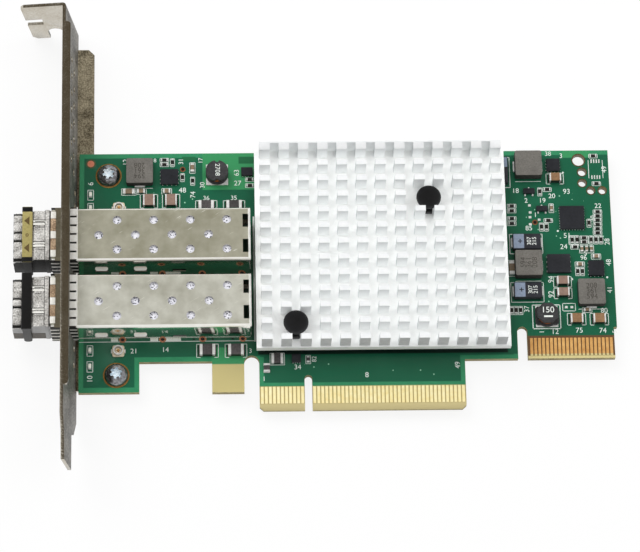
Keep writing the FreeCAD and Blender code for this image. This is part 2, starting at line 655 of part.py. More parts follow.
        bore = facet_rod("%s_sleeve_bore_%d" % (port, line + 1), "sizes.nose_rear - 4",
                         sleeve_y, 4.5, 0.65, 5.0, 12, "x")
        sleeves.append(cut("%s_sleeve_%d" % (port, line + 1), outer, [bore]))
    node(group("%s_sleeves" % port, sleeves), "%s_fibre_sleeves" % port)

    # The bail is a crossbar on two arms that turn on stub pins in the nose.
    raw_bar = block("%s_raw_bar" % port, "sizes.bail_pivot_x - 1.25", y + " - 7.35",
                    "sizes.bail_pivot_z + sizes.bail_radius", 2.55, 14.7, "sizes.bail_thick")
    bar = rounded("%s_bar" % port, raw_bar, bail_thick * 0.4,
                  lambda middle, along: abs(along.y) > 0.9
                  and middle.z > bail_pivot_z + bail_radius + 0.5)
    arms = []
    for line in (-1, 1):
        arms.append(block("%s_arm_%d" % (port, line + 1), "sizes.bail_pivot_x - 1",
                          y + " + %.2f" % (line * 7.05 - 0.3), "sizes.bail_pivot_z - 0.3", 2.0,
                          0.6, "sizes.bail_radius + sizes.bail_thick"))
        arms.append(facet_rod("%s_arm_round_%d" % (port, line + 1), "sizes.bail_pivot_x",
                              y + " + %.2f" % (line * 7.05 - 0.3), "sizes.bail_pivot_z", 1.0,
                              0.6, 20, "y"))
        arms.append(rod("%s_stub_%d" % (port, line + 1), "sizes.bail_pivot_x",
                        y + " + %.2f" % (line * 6.45 - 0.45), "sizes.bail_pivot_z", 0.5, 0.9,
                        "y"))
    node(fuse("%s_bail_solid" % port, [bar] + arms), "%s_bail" % port)


# ---------------------------------------------------------------- board parts
# Each place is measured from a corner of the part's own zone: the ports' zone
# from the left edge, the edge connector's from the key, the power zone from
# the right side of the heat sink. All start at the board's lower edge.
zones = {"port": board_left, "key": 0.0, "power": sink_right}


def chips(label, prefix, places):
    """Rectangular packages given by zone, centre, size along X and Y, and height."""
    made = []
    for index, (zone, cx, cy, lx, ly, high) in enumerate(places):
        made.append(block("%s_%d" % (prefix, index), zones[zone] + cx - lx / 2,
                          board_low + cy - ly / 2, 0.0, lx, ly, high))
    node(group(prefix + "s", made), label)

# Square moulded power inductors with their corners knocked off.
coils = []
coil_side = 6.8
coil_corner = 0.5
for index, (zone, cx, cy, high) in enumerate(
        [("port", 15.3, 50.5, 2.4), ("power", 6.5, 51.5, 3), ("power", 5.5, 24.5, 3),
         ("power", 21.05, 16.9, 2.4)]):
    far = coil_side / 2
    near = far - coil_corner
    shape = [(-far, -near), (-near, -far), (near, -far), (far, -near),
             (far, near), (near, far), (-near, far), (-far, near)]
    coils.append(prism("coil_%d" % index,
                       [(zones[zone] + cx + a, board_low + cy + b, 0) for a, b in shape],
                       (0, 0, 0), high, (0, 0, 1)))
node(group("coils", coils), "moulded_inductors")

# Drum wound inductors: a waisted ferrite core with a winding in the waist.
cores = []
windings = []
drum_radius = 2.85
for index, (zone, px, py) in enumerate([("port", 34.9, 50), ("power", 9.65, 11)]):
    cx = zones[zone] + px
    cy = board_low + py
    flange_base = facet_rod("core_low_%d" % index, cx, cy, 0.3, drum_radius, 0.7, 24)
    waist = facet_rod("core_waist_%d" % index, cx, cy, 0.9, 1.6, 1.7, 16)
    flange_top = facet_rod("core_high_%d" % index, cx, cy, 2.5, drum_radius, 0.7, 24)
    foot_plate = block("core_foot_%d" % index, cx - 2.8, cy - 2.8, 0.0, 5.6, 5.6, 0.4)
    cores.append(fuse("core_%d" % index, [flange_base, waist, flange_top, foot_plate]))
    turn = facet_rod("turn_%d" % index, cx, cy, 1.05, 2.5, 1.4, 16)
    turn_bore = facet_rod("turn_bore_%d" % index, cx, cy, 0.9, 1.65, 1.8, 16)
    windings.append(cut("winding_%d" % index, turn, [turn_bore]))
node(group("cores", cores), "drum_inductor_cores")
node(group("winding_set", windings), "drum_inductor_windings")

# Leadless integrated circuits.
chips("leadless_chips", "leadless",
      [("port", 22.8, 49.4, 4.5, 4.1, 0.9), ("port", 42.5, 50.7, 2.9, 2.2, 0.85),
       ("power", 13, 51.8, 3.4, 3.4, 0.9), ("power", 17.2, 37.4, 6.2, 6.2, 0.9),
       ("power", 22.7, 23.7, 3.9, 4.1, 0.9), ("key", -2.9, 0.5, 2.2, 2.1, 0.8)])

# The memory package is a slab with four flat lands showing at each end.
memory_length = 5.8
memory_width = 4.95
memory_x = zones["power"] + 13.275
memory_y = board_low + 24.975
memory_parts = [block("memory_body", memory_x - memory_length / 2, memory_y - memory_width / 2,
                      0.1, memory_length, memory_width, 0.95)]
for step in range(4):
    for side in (-1, 1):
        memory_parts.append(block("memory_lead_%d_%d" % (step, side + 1),
                                  memory_x + side * memory_length / 2 - 0.15,
                                  memory_y + 1.27 * (step - 1.5) - 0.2, 0.0, 0.3, 0.4, 0.25))
node(fuse("memory", memory_parts), "memory_chip")

# Three-lead transistors.
transistors = []
for index, (zone, px, py) in enumerate([("power", 6.55, 44.7), ("power", 9.65, 39.9)]):
    cx = zones[zone] + px
    cy = board_low + py
    pieces = [block("sot_body_%d" % index, cx - 1.45, cy - 0.65, 0.1, 2.9, 1.3, 0.95)]
    for k, (dx, dy) in enumerate([(-0.95, -1.2), (0.95, -1.2), (0.0, 0.6)]):
        pieces.append(block("sot_lead_%d_%d" % (index, k), cx + dx - 0.2, cy + dy, 0.0,
                            0.4, 0.6, 0.35))
    transistors.append(fuse("sot_%d" % index, pieces))
node(group("transistor_set", transistors), "transistors")

chips("tantalum_capacitors", "tantalum",
      [("power", 5.3, 30.6, 7.3, 4.3, 2), ("power", 5.1, 17.6, 7.2, 4.3, 2),
       ("power", -0.75, 50.1, 4.3, 7.3, 2)])
chips("large_ceramic_capacitors", "large_cap",
      [("port", 17.6, 43, 2.9, 3, 1.3), ("port", 23.2, 43, 2.9, 3, 1.3),
       ("power", 13.35, 48.2, 2.9, 2.1, 1.7), ("power", 14.05, 20.3, 3, 2.1, 1.6),
       ("power", 14.05, 17.2, 3, 2.1, 1.6), ("power", 17.15, 10.3, 3.1, 2.4, 1.3),
       ("power", 22.85, 10.25, 3.1, 2.4, 1.3)])
chips("small_ceramic_capacitors", "small_cap",
      [("port", 12.5, 45.6, 3, 1.3, 0.6), ("port", 15.6, 45.7, 2, 1.1, 0.6),
       ("port", 22.1, 45.65, 1.8, 1.1, 0.6), ("port", 28.65, 52, 0.9, 2.2, 0.6),
       ("key", 0.05, 0.3, 0.7, 1.5, 0.5), ("power", 18.65, 24.9, 1.7, 0.9, 0.5),
       ("power", 22.85, 27, 1.7, 0.9, 0.6), ("power", 19.9, 12.7, 1.7, 0.8, 0.6),
       ("power", 1.4, 24.05, 1.3, 3.6, 0.9), ("power", 19.35, 29.05, 0.7, 1.4, 0.5),
       ("power", 20.55, 29.05, 0.7, 1.4, 0.5), ("power", 21.75, 29.05, 0.7, 1.4, 0.5),
       ("power", 12.1, 40.2, 0.7, 1.7, 0.5), ("key", -7.65, 0.5, 2.9, 2.6, 0.9)])


def same_chips(label, prefix, length, width, height, lying, standing):
    """Chips of one named size, some along X and some turned along Y."""
    made = []
    for index, (zone, cx, cy) in enumerate(lying + standing):
        turned = index >= len(lying)
        across, deep = (width, length) if turned else (length, width)
        made.append(block("%s_%d" % (prefix, index),
                          "%.2f - sizes.%s / 2" % (zones[zone] + cx, across),
                          "%.2f - sizes.%s / 2" % (board_low + cy, deep), 0.0,
                          "sizes." + across, "sizes." + deep, "sizes." + height))
    node(group(prefix + "s", made), label)


same_chips("chip_resistors", "resistor", "resistor_length", "resistor_width", "resistor_height",
           [("port", 21.55, 54.2), ("port", 21.55, 52.95), ("port", 43.2, 48.7), ("port", 43.2, 47.05),
            ("power", 23.4, 54.4), ("power", 23.9, 46.8), ("power", 11.25, 45.3),
            ("power", 2.05, 40.85), ("power", 2, 39.55), ("power", 1.95, 37.45), ("power", 1.9, 36.1),
            ("power", 11.2, 36.85), ("power", 23.8, 39.1), ("power", 23.75, 37.95),
            ("power", 23.7, 36.8), ("power", 23.65, 35.65), ("power", 23.6, 34.5),
            ("power", 23.55, 33.35), ("power", 20, 32.05), ("power", 20, 30.9), ("power", 17.65, 29.6)],
           [("port", 23.6, 53.5), ("port", 26.1, 49.4), ("port", 28.7, 48.4), ("power", 9.35, 44.7),
            ("power", 9.4, 35.1), ("power", 10.65, 35.1), ("power", 21.5, 36.05), ("power", 17, 31.5),
            ("power", 18.25, 31.5), ("power", 21.8, 31.5), ("power", 23.05, 31.5),
            ("power", 24.3, 31.5), ("power", 0.9, 12.75), ("power", 2.05, 12.75),
            ("power", 3.2, 12.75), ("power", 18, 23), ("power", 19.2, 23)])
same_chips("ferrite_beads", "bead", "bead_length", "bead_width", "bead_height",
           [("port", 32.1, 41.3), ("port", 39.15, 41.25), ("port", 32.1, 2.85), ("port", 39.2, 2.8)], [])
node(block("fuse_body", -11.05, board_low - 2.95, 0.0, 1.5, 2.2, 0.6), "fuse")
lights = []
for index, (light_x, light_y) in enumerate(light_places):
    lights.append(block("light_%d" % index, light_x - 0.5, light_y - 0.95, 0.0, 1.0, 1.9, 0.8))
node(group("lights", lights), "led_indicators")

# Two tiny coaxial test jacks: a square base, a round shell and a centre pin.
bases = []
shells = []
for index, (zone, px, py) in enumerate([("port", 10, 41.1), ("port", 9.9, 2.9)]):
    cx = zones[zone] + px
    cy = board_low + py
    bases.append(block("jack_base_%d" % index, cx - 1.5, cy - 1.5, 0.0, 3.0, 3.0, 0.35))
    barrel = facet_rod("jack_barrel_%d" % index, cx, cy, 0.35, 1.25, 1.0, 16)
    barrel_bore = facet_rod("jack_bore_%d" % index, cx, cy, 0.3, 0.95, 1.2, 16)
    shells.append(cut("jack_barrel_cut_%d" % index, barrel, [barrel_bore]))
    shells.append(facet_rod("jack_pin_%d" % index, cx, cy, 0.35, 0.25, 0.8, 8))
node(group("jack_bases", bases), "coax_jack_bases")
node(group("jack_shells", shells), "coax_jack_shells")

# ---------------------------------------------------------------- check and export
doc.recompute()
for item in doc.Objects:
    if "Invalid" in item.State or "Error" in item.State:
        raise RuntimeError("feature %s failed: %s" % (item.Name, item.State))
for item in nodes:
    shape = item.Shape
    if shape.isNull() or not shape.isValid() or shape.Volume <= 0:
        raise RuntimeError("node %s has a bad shape" % item.Label)
    shape.exportStep("parts/%s.step" % item.Label)
    box = shape.BoundBox
    print("%-28s solids %3d  x %.2f %.2f  y %.2f %.2f  z %.2f %.2f" % (
        item.Label, len(shape.Solids), box.XMin, box.XMax, box.YMin, box.YMax, box.ZMin, box.ZMax))
print("nodes", len(nodes))
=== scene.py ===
import bpy
import math
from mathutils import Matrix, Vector


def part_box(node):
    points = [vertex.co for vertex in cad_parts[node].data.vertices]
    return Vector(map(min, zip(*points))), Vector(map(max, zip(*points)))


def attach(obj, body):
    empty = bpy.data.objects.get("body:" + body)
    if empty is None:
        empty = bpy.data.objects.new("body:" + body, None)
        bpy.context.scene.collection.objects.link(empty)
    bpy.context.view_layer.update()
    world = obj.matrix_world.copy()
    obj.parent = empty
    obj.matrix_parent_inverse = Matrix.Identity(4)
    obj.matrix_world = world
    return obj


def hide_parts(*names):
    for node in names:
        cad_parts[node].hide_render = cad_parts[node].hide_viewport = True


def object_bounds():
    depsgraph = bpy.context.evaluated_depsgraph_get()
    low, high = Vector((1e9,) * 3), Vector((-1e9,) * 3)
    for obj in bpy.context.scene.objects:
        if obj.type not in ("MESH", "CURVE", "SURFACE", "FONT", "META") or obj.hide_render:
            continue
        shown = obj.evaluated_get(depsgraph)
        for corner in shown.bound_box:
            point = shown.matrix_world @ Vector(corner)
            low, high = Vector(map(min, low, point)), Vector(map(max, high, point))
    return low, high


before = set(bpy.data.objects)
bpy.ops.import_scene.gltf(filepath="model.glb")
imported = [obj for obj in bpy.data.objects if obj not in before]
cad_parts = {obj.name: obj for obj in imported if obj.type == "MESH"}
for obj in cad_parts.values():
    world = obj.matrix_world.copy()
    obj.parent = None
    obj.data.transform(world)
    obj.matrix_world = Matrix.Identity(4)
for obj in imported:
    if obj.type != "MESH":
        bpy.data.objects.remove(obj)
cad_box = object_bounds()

# ---------------- studio
# A plain white floor under a soft studio: two broad lamps, a pale surround
# and a dark ceiling, which is what flat polished metal shows from above.
scene = bpy.context.scene
scene.view_settings.view_transform = "Standard"


def use_only(*pieces):
    """Select just these pieces and make the last one active."""
    bpy.ops.object.select_all(action="DESELECT")
    for piece in pieces:
        piece.select_set(True)
    if pieces:
        bpy.context.view_layer.objects.active = pieces[-1]


use_only()
bpy.ops.object.camera_add(location=(-0.0221, -0.2180, 0.6829))
camera = bpy.context.object
camera.rotation_mode = "ZXY"
camera.rotation_euler = [math.radians(angle) for angle in (17.825, -1.348, -0.981)]
camera.data.sensor_width = 36
camera.data.lens = 162.88
camera.data.shift_x = 0.0554
camera.data.shift_y = 0.1999
camera.data.clip_start = 0.01
scene.camera = camera

for name, place, size, power in (
    ("key_lamp", (-0.55, 0.60, 0.95), 0.9, 9.5),
    ("fill_lamp", (0.60, 0.10, 0.90), 1.1, 5.0),
):
    bpy.ops.object.light_add(type="AREA", location=place)
    lamp = bpy.context.object
    lamp.name = name
    lamp.data.energy = power
    lamp.data.size = size
    lamp.visible_glossy = False
    lamp.rotation_euler = (-Vector(place)).to_track_quat("-Z", "Y").to_euler()


def new_node(tree, kind, sockets=None, **settings):
    """A node with its settings made, and each named socket given a link or a value."""
    node = tree.nodes.new("ShaderNode" + kind)
    for setting, value in settings.items():
        setattr(node, setting, value)
    for socket, value in (sockets or {}).items():
        if isinstance(value, bpy.types.NodeSocket):
            tree.links.new(value, node.inputs[socket])
        else:
            node.inputs[socket].default_value = value
    return node


def maths(tree, operation, first, second):
    """A Math node on two sockets or numbers."""
    return new_node(tree, "Math", {0: first, 1: second}, operation=operation).outputs[0]


def ramped(tree, value, low, high, to_low=0, to_high=1):
    """A value carried from one range over to another and held at its ends."""
    return new_node(tree, "MapRange", {"Value": value, "From Min": low, "From Max": high,
                                       "To Min": to_low, "To Max": to_high}).outputs[0]


def mixed(tree, amount, first, second):
    """A blend of two sockets or colours."""
    return new_node(tree, "Mix", {0: amount, 6: first, 7: second}, data_type="RGBA").outputs[2]


def off_a_surface(tree, path):
    """1 for a ray that was mirrored or let through by a surface, else 0."""
    return maths(tree, "MAXIMUM", path.outputs["Is Glossy Ray"],
                 path.outputs["Is Transmission Ray"])


world = bpy.data.worlds.new("studio")
scene.world = world
world.use_nodes = True
tree = world.node_tree
tree.nodes.clear()
path = new_node(tree, "LightPath")
direction = new_node(tree, "TexCoord").outputs["Generated"]
overhead = new_node(tree, "VectorMath", {0: direction, 1: (0, 0.3, 0.954)},
                    operation="DOT_PRODUCT").outputs["Value"]
ceiling = mixed(tree, ramped(tree, overhead, 0.64, 0.86), (0.95, 0.95, 0.95, 1),
                (0.135, 0.115, 0.085, 1))
seen = mixed(tree, off_a_surface(tree, path), ramped(tree, overhead, -0.1, 0.7, 0.12, 0.58),
             ceiling)
backdrop = mixed(tree, path.outputs["Is Camera Ray"], seen, (1, 1, 1, 1))
glow = new_node(tree, "Background", {"Color": backdrop})
new_node(tree, "OutputWorld", {0: glow.outputs[0]})

use_only()
bpy.ops.mesh.primitive_plane_add(size=6, location=(0, 0, cad_box[0].z - 0.0002))
floor = bpy.context.object
floor.name = "floor"
paper = bpy.data.materials.new("studio_paper")
paper.use_nodes = True
tree = paper.node_tree
shader = tree.nodes["Principled BSDF"]
shader.inputs["Base Color"].default_value = (0.86, 0.86, 0.86, 1)
shader.inputs["Roughness"].default_value = 1
shader.inputs["Specular IOR Level"].default_value = 0
path = new_node(tree, "LightPath")
whiteness = 0.87
shown = maths(tree, "MULTIPLY", path.outputs["Is Camera Ray"], whiteness)
lit = maths(tree, "MAXIMUM", shown, off_a_surface(tree, path))
white = new_node(tree, "Emission")
blend = new_node(tree, "MixShader", {0: lit, 1: shader.outputs[0], 2: white.outputs[0]})
tree.links.new(blend.outputs[0], tree.nodes["Material Output"].inputs[0])
floor.data.materials.append(paper)

# ---------------- circuit board
# Green masked glass laminate, 1.57 mm thick, routed to shape. The mask looks
# lighter where no inner copper lies behind it: round the border and under the
# drum inductor. The two tongues and the small tab are bare laminate.
MM = 0.001


def light_colour(red, green, blue):
    """A colour given in 0 to 255 steps, as the linear values that shaders take."""
    steps = [value / 255 for value in (red, green, blue)]
    linear = [v / 12.92 if v < 0.04045 else ((v + 0.055) / 1.055) ** 2.4 for v in steps]
    return (*linear, 1.0)


def make_group(name, inputs, outputs):
    """An empty node group with its sockets, and its input and output nodes."""
    group = bpy.data.node_groups.new(name, "ShaderNodeTree")
    kinds = {"f": "NodeSocketFloat", "v": "NodeSocketVector", "c": "NodeSocketColor"}
    for text, kind in inputs:
        group.interface.new_socket(text, in_out="INPUT", socket_type=kinds[kind])
    for text, kind in outputs:
        group.interface.new_socket(text, in_out="OUTPUT", socket_type=kinds[kind])
    entry = group.nodes.new("NodeGroupInput")
    leave = group.nodes.new("NodeGroupOutput")
    return group, entry, leave


# Cloudy and fine variation of one finish: used by nearly every material.
mottle, entry, leave = make_group(
    "mottle",
    [("Vector", "v"), ("Scale", "f"), ("Light", "c"), ("Dark", "c"), ("Smooth", "f"),
     ("Rough", "f")],
    [("Color", "c"), ("Roughness", "f"), ("Height", "f")],
)
given = entry.outputs
fine = new_node(mottle, "TexNoise", {"Vector": given["Vector"], "Scale": given["Scale"],
                                     "Detail": 3}).outputs["Fac"]
broad_scale = maths(mottle, "MULTIPLY", given["Scale"], 0.12)
broad = new_node(mottle, "TexNoise", {"Vector": given["Vector"], "Scale": broad_scale,
                                      "Detail": 1}).outputs["Fac"]
both = maths(mottle, "ADD", maths(mottle, "MULTIPLY", fine, 0.62),
             maths(mottle, "MULTIPLY", broad, 0.38))
tint = mixed(mottle, ramped(mottle, both, 0.34, 0.66), given["Dark"], given["Light"])
gloss = new_node(mottle, "Mix", {0: broad, 2: given["Smooth"], 3: given["Rough"]}).outputs[0]
for socket, value in (("Color", tint), ("Roughness", gloss), ("Height", fine)):
    mottle.links.new(value, leave.inputs[socket])


def finish(name, light, dark, smooth, rough, scale, metal=0.0, bump=0.0, stretch=(1, 1, 1)):
    """A material whose colour, gloss and fine relief all vary over the surface."""
    made = bpy.data.materials.new(name)
    made.use_nodes = True
    tree = made.node_tree
    place = new_node(tree, "TexCoord").outputs["Object"]
    turn = new_node(tree, "Mapping", {"Vector": place, "Scale": stretch})
    vary = new_node(tree, "Group", {
        "Vector": turn.outputs[0], "Scale": scale, "Light": light_colour(*light),
        "Dark": light_colour(*dark), "Smooth": smooth, "Rough": rough}, node_tree=mottle)
    shader = tree.nodes["Principled BSDF"]
    shader.inputs["Metallic"].default_value = metal
    tree.links.new(vary.outputs["Color"], shader.inputs["Base Color"])
    tree.links.new(vary.outputs["Roughness"], shader.inputs["Roughness"])
    if bump:
        relief = new_node(tree, "Bump", {"Strength": bump, "Distance": 0.0001,
                                         "Height": vary.outputs["Height"]})
        tree.links.new(relief.outputs[0], shader.inputs["Normal"])
    return made


def place_on(material):
    """The socket that gives the place on the object, in metres."""
    return material.node_tree.nodes["Texture Coordinate"].outputs["Object"]


def overlay(material, colour, amount):
    """Lay a colour over a material's own one by a mask from 0 to 1."""
    tree = material.node_tree
    target = tree.nodes["Principled BSDF"].inputs["Base Color"]
    if isinstance(colour, tuple):
        colour = light_colour(*colour)
    tree.links.new(mixed(tree, amount, target.links[0].from_socket, colour), target)


# A soft-edged rectangle in the plane of the board, as a mask from 0 to 1.
zone, entry, leave = make_group(
    "zone",
    [("Vector", "v"), ("Left", "f"), ("Right", "f"), ("Low", "f"), ("High", "f")],
    [("Inside", "f")],
)
split = new_node(zone, "SeparateXYZ", {0: entry.outputs["Vector"]})
blur = 0.00012
inside = 1
for axis, edge, sign in (("X", "Left", 1), ("X", "Right", -1), ("Y", "Low", 1), ("Y", "High", -1)):
    away = maths(zone, "SUBTRACT", split.outputs[axis], entry.outputs[edge])
    inside = maths(zone, "MULTIPLY", inside, ramped(zone, away, -blur * sign, blur * sign))
zone.links.new(inside, leave.inputs["Inside"])


def zone_of(material, *rectangles):
    """One mask that is 1 inside any of these rectangles, given in millimetres."""
    tree = material.node_tree
    total = 0
    for left, right, low, high in rectangles:
        box = new_node(tree, "Group", {
            "Vector": place_on(material), "Left": left * MM, "Right": right * MM,
            "Low": low * MM, "High": high * MM}, node_tree=zone)
        total = maths(tree, "MAXIMUM", total, box.outputs[0])
    return total


mask = finish("solder_mask", (46, 138, 94), (38, 128, 86), 0.3, 0.42, 500, bump=0.05)
tree = mask.node_tree
tree.nodes["Principled BSDF"].inputs["Coat Weight"].default_value = 0.1
tree.nodes["Principled BSDF"].inputs["Coat Roughness"].default_value = 0.1
cloud = new_node(tree, "TexNoise", {"Vector": place_on(mask), "Scale": 60}).outputs["Fac"]
overlay(mask, mixed(tree, cloud, light_colour(8, 84, 58), light_colour(15, 99, 69)),
        zone_of(mask, (-55.9, 79.0, 14.2, 67.7), (-55.9, -43.2, 6.3, 15.0),
                (-11.0, 38.0, 7.2, 15.0), (-12.0, 51.4, 14.0, 15.5), (56.2, 75.6, 19.5, 22.0)))
overlay(mask, (50, 142, 88), zone_of(mask, (-25.9, -12.0, 58.9, 70.0), (-24.0, -15.8, 12.0, 16.6),
                                     (66.0, 73.0, 66.9, 70.0)))
overlay(mask, (26, 100, 62), zone_of(mask, (-31.1, -27.6, 66.9, 68.0), (-16.7, -12.0, 66.0, 67.9)))
# Painted shade: the mask in the gap under the heat sink is darkened.
overlay(mask, (3, 26, 19), zone_of(mask, (-12.4, 50.0, 14.6, 67.0)))
small_vias = new_node(tree, "TexVoronoi", {"Vector": place_on(mask), "Scale": 520})
dot_radius = 0.095
via_dot = maths(tree, "LESS_THAN", small_vias.outputs["Distance"], dot_radius)
drilled = zone_of(mask, (-10.0, 36.0, 6.8, 13.6), (56.0, 76.0, 27.0, 57.0),
                  (-40.0, -20.0, 52.0, 60.0))
overlay(mask, (150, 205, 175), maths(tree, "MULTIPLY", via_dot, drilled))
for colour, rectangle in (((194, 181, 122), (-25.0, -15.0, 0.0, 12.2)),
                          ((198, 184, 132), (-13.0, 40.0, -1.0, 2.0)),
                          ((172, 152, 96), (-13.0, 40.0, 1.7, 6.25)),
                          ((206, 193, 136), (54.5, 77.5, 11.0, 13.9)),
                          ((96, 68, 42), (54.5, 77.5, 13.6, 18.9))):
    overlay(mask, colour, zone_of(mask, rectangle))

cut_edge = finish("cut_laminate", (196, 184, 138), (112, 100, 66), 0.6, 0.85, 900,
                  bump=0.4, stretch=(1, 1, 6))


def joined_copy(node, name):
    """A CAD node's mesh with its triangles merged back into flat faces, in a new object."""
    piece = bpy.data.objects.new(name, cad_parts[node].data.copy())
    scene.collection.objects.link(piece)
    piece.data.materials.clear()
    use_only(piece)
    bpy.ops.object.mode_set(mode="EDIT")
    bpy.ops.mesh.select_all(action="SELECT")
    bpy.ops.mesh.remove_doubles(threshold=0.000002)
    bpy.ops.mesh.dissolve_limited(angle_limit=math.radians(1))
    bpy.ops.object.mode_set(mode="OBJECT")
    return piece


def rounded(piece, width, segments=1, angle=40):
    """Soften a piece's edges by a small width in millimetres, and shade it smooth."""
    use_only(piece)
    soften = piece.modifiers.new("soften", "BEVEL")
    soften.width = width * MM
    soften.segments = segments
    soften.limit_method = "ANGLE"
    soften.angle_limit = math.radians(angle)
    bpy.ops.object.modifier_apply(modifier=soften.name)
    bpy.ops.object.shade_smooth_by_angle(angle=math.radians(35))
    return piece


def paint(piece, *materials):
    """Give a piece its materials, in slot order."""
    piece.data.materials.clear()
    for material in materials:
        piece.data.materials.append(material)
    return piece


def paint_faces(piece, slot_number, test):
    """Put the faces whose centre and normal pass a test into one material slot."""
    for face in piece.data.polygons:
        if test(face.center / MM, face.normal):
            face.material_index = slot_number


board = joined_copy("circuit_board", "board_laminate")
rounded(board, 0.06)
paint(board, mask, cut_edge)
paint_faces(board, 1, lambda centre, normal: abs(normal.z) < 0.9)
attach(board, "card")
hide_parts("circuit_board")

# ---------------- pads, rings and holes
# Copper that shows through openings in the mask: gold rings under the screws, a
# fiducial dot, tented via rings, the leg holes of the cages and lined holes.
copper = finish("bare_copper", (216, 134, 104), (192, 108, 80), 0.3, 0.5, 1500, metal=0.1)
ring_copper = finish("tarnished_copper", (176, 116, 78), (104, 62, 42), 0.3, 0.5, 2500, metal=0.5)
ring_gold = finish("ring_gold", (206, 156, 86), (150, 100, 48), 0.2, 0.35, 900, metal=0.6)
hole_dark = finish("hole_dark", (26, 18, 14), (8, 8, 8), 0.5, 0.8, 900)
lining = finish("hole_lining", (128, 108, 68), (78, 60, 36), 0.3, 0.55, 1500, metal=0.6)


def rod(x, y, z, radius, depth, sides, turn=0, scale=(1, 1, 1)):
    """An upright cylinder round a point, in millimetres and degrees."""
    use_only()
    bpy.ops.mesh.primitive_cylinder_add(vertices=sides, radius=radius * MM, depth=depth * MM,
                                        location=(x * MM, y * MM, z * MM),
                                        rotation=(0, 0, math.radians(turn)))
    bpy.context.object.scale = scale
    bpy.ops.object.transform_apply()
    return bpy.context.object


def start_edit(piece, kind, chosen):
    """Go into edit mode with only the faces or edges selected that pass a test."""
    use_only(piece)
    bpy.ops.object.mode_set(mode="EDIT")
    bpy.ops.mesh.select_mode(type=kind)
    bpy.ops.mesh.select_all(action="DESELECT")
    bpy.ops.object.mode_set(mode="OBJECT")
    for part in piece.data.polygons if kind == "FACE" else piece.data.edges:
        part.select = chosen(part)
    bpy.ops.object.mode_set(mode="EDIT")


def flat_ring(x, y, outer, inner, low, high, material, steps=32):
    """A flat ring or, with no inner radius, a disc, all in millimetres."""
    ring = rod(x, y, (low + high) / 2, outer, high - low, steps)
    if inner:
        start_edit(ring, "FACE", lambda face: abs(face.normal.z) > 0.9)
        bpy.ops.mesh.inset(thickness=(outer - inner) * MM)
        bpy.ops.mesh.bridge_edge_loops()
        bpy.ops.mesh.select_all(action="SELECT")
        bpy.ops.mesh.normals_make_consistent(inside=False)
        bpy.ops.object.mode_set(mode="OBJECT")
    return paint(ring, material)


def gather(name, parts, body="card"):
    """Join like parts into one piece that rides on a body."""
    use_only(*parts)
    bpy.ops.object.join()
    piece = bpy.context.object
    piece.name = name
    piece.data.name = name
    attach(piece, body)
    return piece


def islands(node):
    """The lowest and highest corner of each separate solid in a CAD node."""
    copy = joined_copy(node, "island_copy")
    points = [vertex.co.copy() for vertex in copy.data.vertices]
    leader = list(range(len(points)))

    def top(index):
        while leader[index] != index:
            leader[index] = leader[leader[index]]
            index = leader[index]
        return index

    for edge in copy.data.edges:
        first, second = edge.vertices
        leader[top(first)] = top(second)
    bpy.data.objects.remove(copy)
    found = {}
    for index, point in enumerate(points):
        found.setdefault(top(index), []).append(point / MM)
    boxes = []
    for group in found.values():
        low = Vector([min(point[axis] for point in group) for axis in range(3)])
        high = Vector([max(point[axis] for point in group) for axis in range(3)])
        boxes.append((low, high))
    return sorted(boxes, key=lambda box: (round(box[0].x, 3), round(box[0].y, 3)))


SCREWS = ((-49.7, 62.9), (-47.7, 9.5))
VIAS = ((-30.9, 64.55), (58.2, 49.3))
annuli = gather("screw_pads", [flat_ring(x, y, 3.3, 1.7, 0.0, 0.05, ring_gold, 48)
                               for x, y in SCREWS])

window = finish("mask_window_edge", (78, 92, 62), (58, 74, 48), 0.4, 0.55, 2000)
fiducial = [flat_ring(-54.23, 66.23, 0.88, 0, 0.0, 0.04, copper)]
fiducial += [flat_ring(x, y, 0.72, 0.42, 0.0, 0.04, ring_copper) for x, y in VIAS]
fiducial.append(flat_ring(-54.23, 66.23, 1.3, 0.88, 0.0, 0.02, window))
fiducial = gather("fiducial_and_vias", fiducial)

leg_copper = finish("leg_copper", (206, 142, 104), (150, 92, 62), 0.3, 0.5, 2500, metal=0.1)
leg_rings = []
# The dark discs in the via, leg and small holes are painted shade for the holes' unlit depth.
leg_darks = [flat_ring(x, y, 0.44, 0, 0.0, 0.02, hole_dark) for x, y in VIAS]
for row in (50.2, 36.5, 32.7, 19.0):
    for step in range(4):
        x = -46.15 + 10 * step
        leg_rings.append(flat_ring(x, row, 0.95, 0.55, 0.0, 0.04, leg_copper, 24))
        leg_darks.append(flat_ring(x, row, 0.56, 0, 0.0, 0.03, hole_dark, 20))
for row in (36.7, 19.1):
    for x in (-28.35, -23.7, -18.7):
        leg_darks.append(flat_ring(x, row, 0.45, 0, 0.0, 0.02, hole_dark, 20))
leg_rings = gather("leg_hole_rings", leg_rings)
leg_darks = gather("painted_hole_shade", leg_darks)

liners = [flat_ring(x, y, radius + 0.24, radius - 0.03, -1.59, 0.03, lining, 40)
          for x, y, radius in ((70.0, 66.2, 1.55), (70.75, 62.9, 1.05), (70.7, 59.9, 1.0),
                               (72.8, 57.8, 0.95), (75.7, 57.8, 0.95))]
liners = gather("plated_hole_liners", liners)

# ---------------- edge contacts
# Gold plated fingers on the two tongues, at a pitch of one millimetre.
gold = finish("contact_gold_main", (252, 243, 194), (244, 226, 156), 0.35, 0.5, 900, metal=0.1)
gold_warm = finish("contact_gold_rear", (224, 176, 106), (196, 142, 76), 0.35, 0.5, 700,
                   metal=0.1)
overlay(gold_warm, (206, 193, 136), zone_of(gold_warm, (54.5, 77.5, 11.0, 14.1)))
paint(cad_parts["edge_contacts"], gold)
paint(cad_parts["rear_edge_contacts"], gold_warm)


